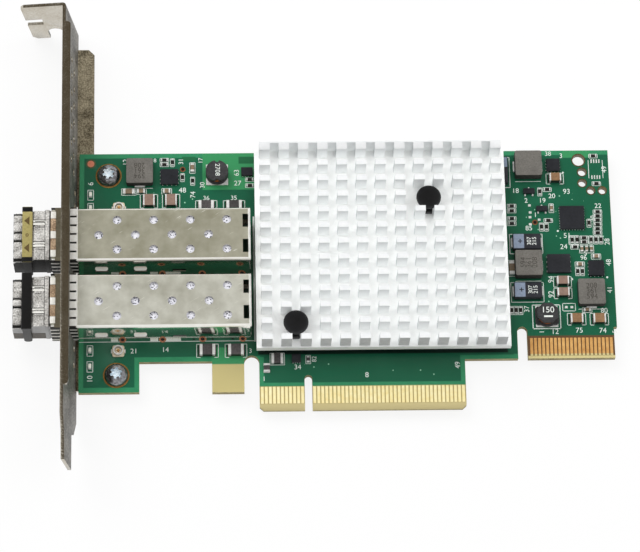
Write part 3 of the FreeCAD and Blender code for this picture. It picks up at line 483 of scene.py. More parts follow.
def solid_box(x, y, z):
    """A box from its spans along X, Y and Z, in millimetres."""
    use_only()
    spans = (x, y, z)
    bpy.ops.mesh.primitive_cube_add(size=MM, location=[(a + b) / 2 * MM for a, b in spans])
    box = bpy.context.object
    box.scale = [b - a for a, b in spans]
    bpy.ops.object.transform_apply()
    return box


def add_box(parts, material, x, y, z, soft=0, segments=1):
    """Put a painted box on a list of parts, its edges softened by a small width if asked."""
    box = solid_box(x, y, z)
    if soft:
        rounded(box, soft, segments)
    parts.append(paint(box, material))
    return box


# The last finger of the long row, on both faces of the board.
fingers = []
for z in (0.0, -1.62):
    add_box(fingers, gold, (38.15, 38.85), (1.75, 6.15), (z, z + 0.05))
fingers = gather("last_edge_fingers", fingers)

# ---------------- slot bracket
# Nickel plated steel, 0.86 mm thick: a leaning plate with a narrow lip, a
# flange under the board, a slotted tab at the top and a tongue at the bottom.
nickel = finish("bracket_nickel", (202, 197, 186), (178, 170, 154), 0.16, 0.24, 2300, metal=1.0,
                bump=0.9)
flange_nickel = finish("flange_nickel", (206, 194, 166), (84, 76, 58), 0.3, 0.5, 2400,
                       metal=0.75, bump=0.9)
bracket = joined_copy("bracket", "slot_bracket")
rounded(bracket, 0.22, 2)
inner_nickel = finish("inner_nickel", (150, 147, 140), (52, 50, 47), 0.45, 0.6, 1800, metal=0.4,
                      bump=0.6)
paint(bracket, nickel, flange_nickel, inner_nickel)
paint_faces(bracket, 2, lambda centre, normal: normal.x > 0.7)
paint_faces(bracket, 1, lambda centre, normal: normal.z > 0.95 and centre.z < 2)
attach(bracket, "card")
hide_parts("bracket")

# ---------------- bracket screws
# Two steel pan head screws with a star recess, turned up tight on their rings.
screw_steel = finish("screw_steel", (176, 176, 180), (84, 84, 86), 0.2, 0.32, 1500, metal=0.97,
                     bump=0.2)
recess_reflection = finish("recess_painted_reflection", (255, 255, 252), (214, 232, 244), 0.3, 0.5, 3000, bump=0.4)


def carve(piece, tools, operation="DIFFERENCE"):
    """Cut the tools out of a piece, or unite them with it, and throw the tools away."""
    use_only(*tools)
    if len(tools) > 1:
        bpy.ops.object.join()
    tool = bpy.context.object
    cut = piece.modifiers.new("cut", "BOOLEAN")
    cut.operation = operation
    cut.object = tool
    cut.solver = "EXACT"
    cut.use_self = len(tools) > 1
    use_only(piece)
    bpy.ops.object.modifier_apply(modifier=cut.name)
    bpy.data.objects.remove(tool)
    return piece


HEAD_RADIUS = 2.92
HEAD_BASE = 0.2
FLATNESS = 0.72


def in_recess(centre, x, y):
    """Whether a face of a screw head lies in its star recess, below the dome."""
    away = math.hypot(centre.x - x, centre.y - y)
    return away < 1.7 and 0.3 < centre.z < HEAD_BASE - 0.1 + FLATNESS * math.sqrt(
        HEAD_RADIUS ** 2 - away ** 2)


heads = []
for x, y in SCREWS:
    use_only()
    bpy.ops.mesh.primitive_uv_sphere_add(segments=40, ring_count=24, radius=HEAD_RADIUS * MM,
                                         location=(x * MM, y * MM, HEAD_BASE * MM))
    head = bpy.context.object
    head.scale = (1, 1, FLATNESS)
    bpy.ops.object.transform_apply()
    bpy.ops.object.mode_set(mode="EDIT")
    bpy.ops.mesh.select_all(action="SELECT")
    bpy.ops.mesh.bisect(plane_co=(0, 0, 0.1 * MM), plane_no=(0, 0, 1), clear_inner=True,
                        use_fill=True)
    bpy.ops.object.mode_set(mode="OBJECT")
    use_only()
    bpy.ops.mesh.primitive_cone_add(vertices=6, radius1=0.5 * MM, radius2=1.5 * MM,
                                    depth=1.7 * MM, location=(x * MM, y * MM, 1.75 * MM))
    star = bpy.context.object
    bpy.ops.object.transform_apply()
    for turn in (20, 80, 140):
        use_only()
        bpy.ops.mesh.primitive_cube_add(size=MM, location=(x * MM, y * MM, 1.9 * MM),
                                        rotation=(0, 0, math.radians(turn)))
        bpy.context.object.scale = (3.0, 0.62, 1.6)
        bpy.ops.object.transform_apply()
        arm = bpy.context.object
        carve(star, [arm], "UNION")
    paint(head, screw_steel, recess_reflection)
    carve(head, [star])
    # The faces in the star recess are painted near-white: a painted reflection.
    paint_faces(head, 1, lambda centre, normal: in_recess(centre, x, y))
    bpy.ops.object.shade_smooth_by_angle(angle=math.radians(35))
    heads.append(head)
    heads.append(flat_ring(x, y, 2.96, 0, 0.03, 0.32, screw_steel, 48))
    heads.append(flat_ring(x, y, 1.45, 0, -3.5, 0.05, screw_steel, 24))
heads = gather("pan_head_screws", heads)
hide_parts("bracket_screws")

# ---------------- heat sink
# One bright aluminium casting with square pins, blasted and left unpainted.
# The casting is painted in lit and shaded copies of one aluminium: the base brightest, the pin
# tops, the sides facing -X and the front row's fronts darker, as painted light and shade.
bright = finish("sink_aluminium", (254, 255, 254), (249, 251, 250), 0.5, 0.62, 900, bump=0.15)
fin_top = finish("sink_fin_top", (237, 238, 238), (228, 230, 231), 0.5, 0.62, 900, bump=0.25)
fin_side = finish("sink_fin_side", (206, 209, 210), (192, 195, 197), 0.5, 0.62, 900, bump=0.1)
fin_front = finish("sink_fin_front", (250, 252, 252), (243, 246, 246), 0.5, 0.62, 900, bump=0.1)
last_row = finish("sink_last_row", (196, 199, 199), (182, 185, 185), 0.5, 0.62, 900, bump=0.1)
# Painted shade on the pin fronts, darker towards their tops.
tall = new_node(fin_front.node_tree, "SeparateXYZ", {0: place_on(fin_front)}).outputs["Z"]
overlay(fin_front, (224, 227, 228), ramped(fin_front.node_tree, tall, 5.4 * MM, 11.0 * MM))
sink = joined_copy("heat_sink", "pin_fin_heat_sink")
rounded(sink, 0.06)
paint(sink, bright, fin_top, fin_side, fin_front, last_row)
above_base = 6
pin_foot = 5
first_row = 18
paint_faces(sink, 1, lambda centre, normal: normal.z > 0.9 and centre.z > above_base)
paint_faces(sink, 2, lambda centre, normal: normal.x < -0.6 and centre.z > pin_foot)
paint_faces(sink, 3, lambda centre, normal: normal.y < -0.9 and centre.z > pin_foot)
paint_faces(sink, 4, lambda centre, normal: (
    normal.y < -0.9 and centre.z > pin_foot and centre.y < first_row))
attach(sink, "card")
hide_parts("heat_sink")

# Black nylon push pins with a round head, each over its own wire spring.
nylon = finish("black_nylon", (16, 17, 20), (8, 9, 11), 0.35, 0.55, 1500, bump=0.1)
spring_wire = finish("spring_wire", (60, 60, 62), (24, 24, 26), 0.3, 0.5, 2500, metal=0.6)
push = joined_copy("heat_sink_push_pins", "push_pins")
rounded(push, 0.12, 2)
paint(push, nylon)


def around(centre, half):
    """The span that reaches as far to each side of its centre."""
    return centre - half, centre + half


tails = [push]
coils = []
for low, high in islands("push_pin_springs"):
    middle = (low + high) / 2
    add_box(tails, nylon, around(middle.x, 1.0), (middle.y - 3.3, middle.y - 1.0), (5.2, 6.6),
            0.2, 2)
    use_only()
    bpy.ops.mesh.primitive_circle_add(vertices=10, radius=0.22 * MM, location=(2.1 * MM, 0, 0),
                                      rotation=(math.radians(90), 0, 0))
    coil = bpy.context.object
    bpy.ops.object.transform_apply()
    wind = coil.modifiers.new("wind", "SCREW")
    wind.angle = math.tau
    wind.iterations = 3
    wind.screw_offset = 0.88 * MM
    wind.steps = 24
    wind.render_steps = 24
    bpy.ops.object.modifier_apply(modifier=wind.name)
    bpy.ops.object.mode_set(mode="EDIT")
    bpy.ops.mesh.select_all(action="SELECT")
    bpy.ops.mesh.fill_holes(sides=0)
    bpy.ops.mesh.select_all(action="SELECT")
    bpy.ops.mesh.normals_make_consistent(inside=False)
    bpy.ops.object.mode_set(mode="OBJECT")
    coil.location = (middle.x * MM, middle.y * MM, (low.z + 0.23) * MM)
    bpy.ops.object.transform_apply()
    bpy.ops.object.shade_smooth()
    paint(coil, spring_wire)
    coils.append(coil)
push = gather("push_pins", tails)
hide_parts("heat_sink_push_pins")
coils = gather("push_pin_coils", coils)
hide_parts("push_pin_springs")

# The controller package and its thermal pad, in the gap under the heat sink.
chip_black = finish("chip_epoxy", (36, 38, 44), (26, 28, 33), 0.45, 0.6, 1800, bump=0.15)
pad_grey = finish("thermal_pad", (150, 160, 170), (120, 128, 138), 0.6, 0.8, 1200, bump=0.2)
paint(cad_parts["controller_chip"], chip_black)
paint(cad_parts["thermal_pad"], pad_grey)

# ---------------- transceiver cages
# Each cage is folded from nickel silver sheet 0.3 mm thick, open at the front,
# with twelve vent holes, two slots at the back edge and small spring tabs.
cage_side = finish("cage_side", (248, 246, 240), (236, 232, 222), 0.08, 0.16, 300, metal=1.0)
cage_tops = {}
# The upper cage's top is painted in a darker copy of the lower one's nickel: painted shade.
for port, light, dark in (("upper", (196, 194, 176), (162, 159, 138)),
                          ("lower", (224, 224, 212), (186, 185, 170))):
    cage_tops[port] = finish(port + "_cage_top", light, dark, 0.40, 0.50, 260, metal=0.5, bump=0.1)
    tree = cage_tops[port].node_tree
    slant = new_node(tree, "Mapping", {
        "Vector": place_on(cage_tops[port]), "Rotation": (0, 0, math.radians(32)),
        "Scale": (0.0035, 0.0003, 0.0035)}, vector_type="TEXTURE")
    streak = new_node(tree, "TexNoise", {"Vector": slant.outputs[0], "Scale": 1, "Detail": 1})
    overlay(cage_tops[port], (240, 239, 228), ramped(tree, streak.outputs["Fac"], 0.70, 0.80))
cage_bend_highlight = finish("cage_bend_highlight", (255, 254, 248), (250, 248, 240), 0.25, 0.35, 900, metal=0.6)
tab_white = finish("cage_tab", (250, 249, 244), (240, 238, 230), 0.3, 0.45, 900)


def round_edges(piece, test, width, segments):
    """Bevel the edges whose middle and direction pass a test, in millimetres."""
    def chosen(edge):
        first, second = [piece.data.vertices[index].co / MM for index in edge.vertices]
        return test((first + second) / 2, (second - first).normalized())

    start_edit(piece, "EDGE", chosen)
    bpy.ops.mesh.bevel(offset=width * MM, segments=segments, affect="EDGES")
    bpy.ops.object.mode_set(mode="OBJECT")


PORTS = {"upper": 43.35, "lower": 25.85}
roof = 9
rear = -20
sheet = 0.3
for port, middle in PORTS.items():
    low, high = [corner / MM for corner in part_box(port + "_cage")]
    shell = solid_box((low.x, high.x), (low.y, high.y), (0, high.z))
    round_edges(shell, lambda centre, along: centre.z > roof and (
        abs(along.x) > 0.9 or (abs(along.y) > 0.9 and centre.x > rear)), 0.8, 5)
    round_edges(shell, lambda centre, along: abs(along.z) > 0.9 and centre.x > rear, 0.4, 3)
    inside = solid_box((low.x - 1, high.x - sheet), (low.y + sheet, high.y - sheet),
                       (sheet, high.z - sheet))
    round_edges(inside, lambda centre, along: centre.z > roof and abs(along.x) > 0.9, 0.3, 3)
    tools = [rod(first + 9.1 * column, middle + shift, 10, 1.1, 3, 32) for column in range(4)
             for shift, first in ((-4.1, -47.2), (-0.25, -51.75), (3.7, -47.2))]
    for side in (-1, 1):
        tools.append(solid_box((-15.95, -14.55), around(middle + 3.35 * side, 1.75), (9.0, 11)))
        for first in (-52.9, -43.2, -33.5):
            tools.append(solid_box((first, first + 3.3), around(middle + 7 * side, 0.6),
                                   (1.6, 3.2)))
    tools.append(solid_box((-25.6, -14.6), around(middle, 6.2), (-1, 1.0)))
    carve(shell, [inside])
    carve(shell, tools)
    paint(shell, cage_tops[port], cage_side, cage_bend_highlight)
    paint_faces(shell, 1, lambda centre, normal: abs(normal.z) < 0.97)
    # Painted highlight: the rounded bends along the near edge and at the back are painted bright.
    paint_faces(shell, 2, lambda centre, normal: 0.2 < normal.z < 0.97 and centre.z > 8.9 and (
        normal.y < -0.2 or (normal.x > 0.2 and centre.x > -17)))
    use_only(shell)
    bpy.ops.object.shade_smooth_by_angle(angle=math.radians(30))
    tabs = [shell]
    # The bent-out spring tabs are painted near-white: a painted highlight.
    for side in (-1, 1):
        for first in (-52.9, -43.2):
            tab = add_box(tabs, tab_white, (first + 0.05, first + 3.25),
                          sorted((middle + 6.9 * side, middle + 7.6 * side)), (3.9, 4.15))
            use_only(tab)
            bpy.ops.object.mode_set(mode="EDIT")
            bpy.ops.mesh.select_all(action="SELECT")
            bpy.ops.transform.rotate(value=math.radians(20 * side), orient_axis="X",
                                     center_override=((first + 1.6) * MM,
                                                      (middle + 7 * side) * MM, 4.0 * MM))
            bpy.ops.object.mode_set(mode="OBJECT")
            round_edges(tab, lambda centre, along: (
                abs(along.z) > 0.8 and (centre.y - middle) * side > 7.3), 0.35, 1)
        for step in range(4):
            add_box(tabs, cage_side, (-46.55 + 10 * step, -45.75 + 10 * step),
                    around(middle + 6.85 * side, 0.15), (-1.4, 0.1), 0.05)
    cage = gather(port + "_cage_shell", tabs)
    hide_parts(port + "_cage")

# ---------------- cage collars
# A sprung collar of thin plated sheet closes the gap between cage and bracket:
# short fingers inside the bracket, round-edged spring fingers outside it.
collar_bright = finish("collar_bright", (250, 249, 244), (236, 233, 224), 0.3, 0.45, 1200,
                       metal=0.1, bump=0.1)
collar_brown = finish("collar_brown", (226, 196, 162), (92, 64, 42), 0.3, 0.5, 3200, metal=0.1,
                      bump=0.8)
sleeve_shade = finish("sleeve_shade", (122, 115, 96), (94, 88, 72), 0.3, 0.5, 1500, metal=0.2)
collar_shade = finish("collar_shadow", (30, 27, 24), (12, 11, 10), 0.6, 0.8, 1800, bump=0.2)


def spring_strip(parts, metal, x, y, z):
    """A strip of spring sheet with its front and back upper edges rounded."""
    strip = add_box(parts, metal, x, y, z)
    round_edges(strip, lambda centre, along: abs(along.y) > 0.9 and centre.z > 9.9, 0.14, 3)


def standing(centre, along):
    """Whether an edge stands upright."""
    return abs(along.z) > 0.9


for port, middle in PORTS.items():
    parts = []
    # Painted shade: a dark strip under the inner fingers.
    add_box(parts, collar_shade, (-58.95, -57.15), around(middle, 6.9), (9.65, 9.82))
    for step in range(6):
        low = middle - 6.95 + 2.32 * step
        spring_strip(parts, collar_bright, (-58.9, -57.2), (low + 0.26, low + 2.06),
                     (9.72, 10.02))
    spring_strip(parts, collar_bright, (-57.28, -56.95), around(middle, 7.1), (9.74, 10.03))
    for low, high, metal in ((4.15, 6.05, collar_bright), (0.85, 4.15, collar_brown),
                             (-1.15, 0.85, collar_bright), (-4.15, -1.15, collar_brown),
                             (-6.05, -4.15, collar_bright)):
        spring_strip(parts, metal, (-63.7, -62.35), (middle + low + 0.06, middle + high - 0.06),
                     (9.75, 10.05))
    # The flat sleeve between the finger rows is painted olive-grey as painted shade.
    add_box(parts, sleeve_shade, (-62.6, -58.8), around(middle, 7.05), (9.7, 9.95))
    for side in (-1, 1):
        for step in range(4):
            height = 0.9 + 2.35 * step
            for reach in ((-58.9, -57.0), (-63.6, -61.4)):
                flap = add_box(parts, collar_bright, reach, around(middle + 7.1 * side, 0.12),
                               (height, height + 0.55))
                round_edges(flap, standing, 0.1, 2)
        # Painted shade on the side walls behind the flaps.
        add_box(parts, collar_shade, (-63.6, -57.0), around(middle + 7.02 * side, 0.08), (0.2, 9.8))
    add_box(parts, collar_bright, (-63.6, -57.4), around(middle, 7.1), (-0.2, -0.04))
    collar = gather(port + "_spring_collar", parts)
    use_only(collar)
    bpy.ops.object.shade_smooth_by_angle(angle=math.radians(30))
    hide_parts(port + "_cage_collar")

# ---------------- transceivers
# Die-cast zinc housings: ribbed saddle, flared shoulder, twin humps over the
# fibre receptacles. The label inside the cage shows through the vent holes.
zinc = finish("plated_zinc", (248, 246, 242), (120, 117, 112), 0.3, 0.5, 3000, metal=0.2,
              bump=0.8)
zinc_shade = finish("module_shadow", (40, 39, 38), (12, 12, 12), 0.6, 0.8, 1200, bump=0.3)
rim_shade = finish("module_rim_shade", (92, 82, 70), (60, 53, 45), 0.4, 0.6, 900)
zinc_plain = finish("module_side", (168, 168, 168), (146, 146, 146), 0.3, 0.4, 600, metal=0.3)
label_white = finish("label_film", (238, 238, 244), (222, 222, 232), 0.4, 0.55, 900)
marks = new_node(label_white.node_tree, "TexNoise", {"Vector": place_on(label_white),
                                                     "Scale": 2400, "Detail": 0})
overlay(label_white, (78, 80, 92),
        ramped(label_white.node_tree, marks.outputs["Fac"], 0.60, 0.66))
ceramic_white = finish("ceramic_sleeve", (238, 238, 232), (220, 220, 212), 0.15, 0.3, 900)
socket_black = finish("socket_plastic", (34, 34, 36), (18, 18, 20), 0.4, 0.6, 1500, bump=0.1)
card_green = finish("module_card", (38, 120, 70), (26, 96, 56), 0.3, 0.5, 900)
for port, middle in PORTS.items():
    body = joined_copy(port + "_transceiver_housing", port + "_module_body")
    rounded(body, 0.12, 2)
    paint(body, zinc, zinc_shade, zinc_plain)
    # The upper housing's side faces are painted in the near-black painted shade; the lower one's in
    # plain grey.
    paint_faces(body, 1 if port == "upper" else 2, lambda centre, normal: abs(normal.y) > 0.7)
    parts = [body]
    # Painted shade: near-black plates under the humps, groove lines and strips beside the saddle
    # ribs.
    add_box(parts, zinc_shade, (-73.05, -70.75), around(middle, 6.3), (7.45, 7.72))
    for offset, wide in ((4.8, 1.9), (2.4, 1.9), (0.1, 1.7), (-2.4, 2.2), (-4.8, 1.8)):
        add_box(parts, zinc, (-73.0, -70.85), around(middle + offset, wide / 2), (7.5, 8.4),
                0.42, 3)
    for groove in ((-65.2, -64.98), (-64.1, -63.72)):
        add_box(parts, zinc_shade, groove, around(middle, 6.5), (9.2, 9.36))
    for offset in (3.3, -2.5):
        add_box(parts, zinc_shade, (-68.0, -65.1), around(middle + offset, 0.85), (9.0, 9.37))
        for shift in (-0.36, 0.36):
            add_box(parts, tab_white, (-68.1, -65.15), around(middle + offset + shift, 0.27),
                    (9.1, 9.5), 0.1)
    if port == "lower":
        # A brown strip of painted shade along the lower part of the lower housing's near side.
        add_box(parts, rim_shade, (-73.0, -64.0), (middle - 6.54, middle - 6.46), (0.3, 4.2))
    body = gather(port + "_module_body", parts)
    use_only(body)
    bpy.ops.object.shade_smooth_by_angle(angle=math.radians(30))
    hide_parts(port + "_transceiver_housing")
    paint(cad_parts[port + "_transceiver_label"], label_white)
    paint(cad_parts[port + "_fibre_sleeves"], ceramic_white)
    paint(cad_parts[port + "_module_socket"], socket_black)
    paint(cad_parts[port + "_transceiver_board"], card_green)

# Bails: one flat bar over the nose on two arms that turn on stub pins.
bail_gold = finish("bail_gold", (176, 164, 104), (150, 138, 82), 0.35, 0.5, 1800, metal=0.15,
                   bump=0.2)
bail_mark = finish("bail_mark", (98, 80, 44), (82, 66, 36), 0.5, 0.7, 1800)
bail_black = finish("bail_black", (12, 12, 14), (7, 7, 8), 0.45, 0.6, 900, bump=0.05)
under_bar = 9.3
for port, middle in PORTS.items():
    bail = joined_copy(port + "_bail", port + "_bail_loop")
    rounded(bail, 0.15, 3)
    parts = [bail]
    if port == "upper":
        paint(bail, bail_gold, zinc_shade)
        # The arms under the bar are painted in the painted shade.
        paint_faces(bail, 1, lambda centre, normal: centre.z < under_bar)
        for side in (-1, 1):
            add_box(parts, bail_black, (-70.78, -68.18),
                    sorted((middle + 5.95 * side, middle + 7.37 * side)), (9.28, 10.08), 0.15, 2)
        for offset in (3.6, -3.6):
            arrow = rod(-69.4, middle + offset, 10.05, 1.1, 0.04, 3, 90, (1.2, 0.8, 1))
            parts.append(paint(arrow, bail_mark))
        parts.append(flat_ring(-69.5, middle - 0.2, 0.42, 0.22, 10.0, 10.08, bail_mark, 20))
    else:
        paint(bail, bail_black)
    bail = gather(port + "_bail_loop", parts, port + "_bail_body")
    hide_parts(port + "_bail")

# ---------------- moulded inductors
# Pressed iron powder blocks, warm grey, on two flat tinned terminals.
iron_powder = finish("iron_powder", (114, 111, 105), (92, 89, 84), 0.55, 0.75, 2600, bump=0.4)
tin = finish("tinned_terminal", (242, 242, 240), (206, 206, 203), 0.2, 0.4, 2500, metal=0.15,
             bump=0.3)
iron_side_shade = finish("iron_powder_side_shade", (58, 55, 52), (38, 36, 34), 0.6, 0.8, 2200, bump=0.3)
cut_mark = finish("laser_mark", (78, 74, 68), (62, 59, 54), 0.7, 0.85, 2600)


def mark(text, x, y, z, size, material, turn=0):
    """Plain digits lying flat, centred on a point, in millimetres and degrees."""
    use_only()
    bpy.ops.object.text_add()
    words = bpy.context.object.data
    words.body = text
    words.size = size * MM
    words.align_x = "CENTER"
    words.align_y = "CENTER"
    words.extrude = 0.01 * MM
    bpy.ops.object.convert(target="MESH")
    digits = bpy.context.object
    digits.rotation_euler.z = math.radians(turn)
    digits.location = (x * MM, y * MM, z * MM)
    bpy.ops.object.transform_apply()
    return paint(digits, material)


parts = []
for low, high in islands("moulded_inductors"):
    block = add_box(parts, iron_powder, (low.x, high.x), (low.y, high.y), (0.25, high.z))
    round_edges(block, standing, 0.45, 3)
    rounded(block, 0.14, 2, 50)
    paint(block, iron_powder, iron_side_shade)
    # The upright sides are painted darker: painted shade.
    paint_faces(block, 1, lambda centre, normal: abs(normal.z) < 0.5)
    middle = (low + high) / 2
    turn = 180 if middle.x < 0 else 0 if middle.x > 65 else 90
    if middle.x < 0 or middle.y < 60:
        for text, row in (("208", 1.45), ("361", 0.0), ("594", -1.45)):
            along = (0, row) if turn != 90 else (row, 0)
            parts.append(mark(text, middle.x + along[0], middle.y + along[1], high.z + 0.005, 1.9,
                              cut_mark, turn))
    for side in (-1, 1):
        reach = sorted((2.0 * side, 3.75 * side))
        if 50 < middle.x < 65:
            spans = [middle.x + edge for edge in reach], around(middle.y, 1.4)
        else:
            spans = around(middle.x, 1.3), [middle.y + edge for edge in reach]
        add_box(parts, tin, *spans, (0.0, 0.5), 0.08)
inductors = gather("power_inductors", parts)
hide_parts("moulded_inductors")

# ---------------- drum inductors
# Ferrite drums: two flanges on a waist wound with enamelled copper wire. The
# top flange is notched on one and eight sided on the other.
ferrite_black = finish("ferrite_black", (60, 60, 62), (38, 38, 40), 0.4, 0.6, 1600, bump=0.25)
enamel = finish("copper_winding", (190, 108, 58), (110, 56, 30), 0.25, 0.4, 700, metal=0.6,
                stretch=(1, 1, 8))
silk_white = finish("silk_ink", (236, 240, 236), (214, 222, 214), 0.5, 0.65, 2500, bump=0.1)
parts = []
for number, (low, high) in enumerate(islands("drum_inductor_cores")):
    middle = (low + high) / 2
    radius = 2.85
    for bottom, top_z, count in ((0.35, 1.0, 48), (2.5, high.z, 8 if number else 48)):
        flange = rod(middle.x, middle.y, (top_z + bottom) / 2, radius, top_z - bottom, count, 22.5)
        if not number and bottom > 1:
            carve(flange, [rod(middle.x, middle.y + reach, 3, 0.5, 2, 16)
                           for reach in (radius, -radius)])
        parts.append(paint(rounded(flange, 0.14, 2, 50), ferrite_black))
    waist = rod(middle.x, middle.y, 1.75, 1.65, 1.7, 32)
    parts.append(paint(rounded(waist, 0.05), ferrite_black))
    for side in (-1, 1):
        add_box(parts, tin, around(middle.x, 2.8), around(middle.y + 1.9 * side, 0.9), (0.0, 0.35),
                0.06)
    if number:
        plate = add_box(parts, ferrite_black, around(middle.x, 2.95), around(middle.y, 2.35),
                        (0.36, 1.1))
        round_edges(plate, standing, 0.5, 1)
        parts.append(mark("150", middle.x, middle.y + 0.7, high.z + 0.005, 2.2, silk_white))
        add_box(parts, silk_white, (middle.x - 1.0, middle.x + 1.2),
                (middle.y - 1.2, middle.y - 0.75), (high.z - 0.01, high.z + 0.01))
    else:
        parts.append(mark("2708", middle.x + 0.1, middle.y + 0.2, high.z + 0.005, 1.7, silk_white,
                          -90))
drums = gather("drum_inductor_bodies", parts)
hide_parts("drum_inductor_cores")
coils = []
for low, high in islands("drum_inductor_windings"):
    middle = (low + high) / 2
    for layer in range(5):
        use_only()
        bpy.ops.mesh.primitive_torus_add(major_radius=2.2 * MM, minor_radius=0.15 * MM,
                                         major_segments=40, minor_segments=8,
                                         location=(middle.x * MM, middle.y * MM,
                                                   (1.22 + 0.28 * layer) * MM))
        bpy.ops.object.transform_apply()
        bpy.ops.object.shade_smooth()
        paint(bpy.context.object, enamel)
        coils.append(bpy.context.object)
coils = gather("drum_windings", coils)
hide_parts("drum_inductor_windings")

# ---------------- integrated circuits
# Leadless packages: black epoxy slabs with a row of small tinned lands at the
# foot of each side.
parts = []
for low, high in islands("leadless_chips"):
    add_box(parts, chip_black, (low.x, high.x), (low.y, high.y), (0.02, high.z), 0.06)
    wide, deep = high.x - low.x, high.y - low.y
    count = 4 if wide < 5 else 9
    for step in range(count):
        share = (step + 0.5) / count
        if wide > 3.2:
            for x in (low.x - 0.12, high.x - 0.16):
                add_box(parts, tin, (x, x + 0.28), around(low.y + deep * share, 0.11), (0.0, 0.12))
        for y in (low.y - 0.12, high.y - 0.16):
            add_box(parts, tin, around(low.x + wide * share, 0.11), (y, y + 0.28), (0.0, 0.12))
chips = gather("leadless_packages", parts)
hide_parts("leadless_chips")

# The memory package has flat lands; the transistors stand on three leads.
parts = []
low, high = [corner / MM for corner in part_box("memory_chip")]
add_box(parts, chip_black, (low.x + 0.12, high.x - 0.12), (low.y, high.y), (0.08, high.z), 0.12, 2)
for step in range(4):
    for x in (low.x, high.x - 0.5):
        add_box(parts, tin, (x, x + 0.5), around(low.y + 0.57 + 1.27 * step, 0.2), (0.0, 0.24))
memory = gather("memory_package", parts)
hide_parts("memory_chip")
parts = []
for low, high in islands("transistors"):
    middle = (low + high) / 2
    add_box(parts, chip_black, (low.x, high.x), around(middle.y, 0.68), (0.12, high.z), 0.1, 2)
    for shift, side in ((-0.95, -1), (0.95, -1), (0.0, 1)):
        add_box(parts, tin, around(middle.x + shift, 0.2), around(middle.y + 0.85 * side, 0.33),
                (0.0, 0.3), 0.06)
transistors = gather("transistor_packages", parts)
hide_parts("transistors")

# ---------------- tantalum capacitors
# Dark epoxy bricks with a pale blue band at the positive end and tinned ends.
tantalum_black = finish("tantalum_epoxy", (42, 43, 50), (28, 29, 36), 0.4, 0.6, 1800, bump=0.2)
band_blue = finish("polarity_band", (136, 149, 170), (118, 130, 148), 0.45, 0.6, 1800)
parts = []
for low, high in islands("tantalum_capacitors"):
    upright = high.y - low.y > high.x - low.x
    axis = 1 if upright else 0
    add_box(parts, tantalum_black, (low.x + 0.1, high.x - 0.1), (low.y + 0.1, high.y - 0.1),
            (0.1, high.z), 0.15, 2)
    reach = 0.36 * (high[axis] - low[axis])
    if upright:
        spans = (low.x + 0.25, high.x - 0.25), (high.y - 0.3 - reach, high.y - 0.3)
    else:
        spans = (low.x + 0.3, low.x + 0.3 + reach), (low.y + 0.25, high.y - 0.25)
    add_box(parts, band_blue, *spans, (high.z - 0.1, high.z + 0.02))
    if not upright:
        middle = (low + high) / 2
        for wide, deep in ((0.55, 0.12), (0.12, 0.55)):
            add_box(parts, tantalum_black, around(low.x + 1.95, wide), around(middle.y, deep),
                    (high.z, high.z + 0.04))
        for text, shift in (("307", 0.6), ("215", 1.9)):
            parts.append(mark(text, middle.x + shift, middle.y, high.z + 0.005, 1.5, silk_white,
                              90))
    for end in ((low[axis] - 0.25, low[axis] + 0.3), (high[axis] - 0.3, high[axis] + 0.25)):
        spans = ((low.x + 0.9, high.x - 0.9), end) if upright else (
            end, (low.y + 0.9, high.y - 0.9))
        add_box(parts, tin, *spans, (0, 1.1), 0.08)
bricks = gather("tantalum_bricks", parts)
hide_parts("tantalum_capacitors")

# ---------------- chip parts
# Ceramic capacitors, resistors, ferrite beads and the fuse all have a body
# between two tinned end caps, and sit in solder on their pads.
ceramic_pink = finish("ceramic_body", (148, 122, 108), (126, 102, 90), 0.4, 0.55, 1600, bump=0.1)
ceramic_tan = finish("ceramic_tan", (148, 114, 80), (120, 90, 62), 0.4, 0.55, 1600, bump=0.1)
ceramic_beige = finish("ceramic_beige", (142, 122, 98), (114, 98, 78), 0.4, 0.55, 1600, bump=0.1)
glaze_black_and_shade = finish("resistor_glaze_and_shade", (40, 40, 36), (24, 24, 22), 0.3, 0.5, 2400, bump=0.1)
bead_grey = finish("ferrite_bead", (84, 80, 80), (58, 55, 56), 0.4, 0.6, 2000, bump=0.2)
solder = finish("solder_fillet", (246, 246, 242), (196, 198, 194), 0.12, 0.3, 2600, metal=0.15,
                bump=0.4)


def chip_part(low, high, body, end_share, pad_grow, pads=solder, along_x=False):
    """A two ended chip between its corners, with end caps and solder on its pads."""
    axis = 1 if high.y - low.y > high.x - low.x and not along_x else 0
    reach = (high[axis] - low[axis]) * end_share
    inner_low, inner_high = low.copy(), high.copy()
    inner_low[axis] += reach * 0.9
    inner_high[axis] -= reach * 0.9
    inner_low.z = 0.04
    inner_high.z = high.z - 0.02
    made = []
    middle = add_box(made, body, *zip(inner_low, inner_high))
    # The body's faces towards -Y are painted black: painted shade.
    paint(middle, body, glaze_black_and_shade)
    paint_faces(middle, 1, lambda centre, normal: normal.y < -0.5)
    for side in (0, 1):
        cap_low, cap_high = low.copy(), high.copy()
        if side:
            cap_low[axis] = high[axis] - reach
        else:
            cap_high[axis] = low[axis] + reach
        cap_low.z = 0.03
        add_box(made, tin, *zip(cap_low, cap_high), 0.07)
        pad_low, pad_high = cap_low.copy(), cap_high.copy()
        pad_low[1 - axis] -= pad_grow * 0.4
        pad_high[1 - axis] += pad_grow * 0.4
        if side:
            pad_high[axis] += pad_grow
        else:
            pad_low[axis] -= pad_grow
        pad_low.z = 0.0
        pad_high.z = min(0.12, high.z * 0.3)
        add_box(made, pads, *zip(pad_low, pad_high), 0.05)
    return made


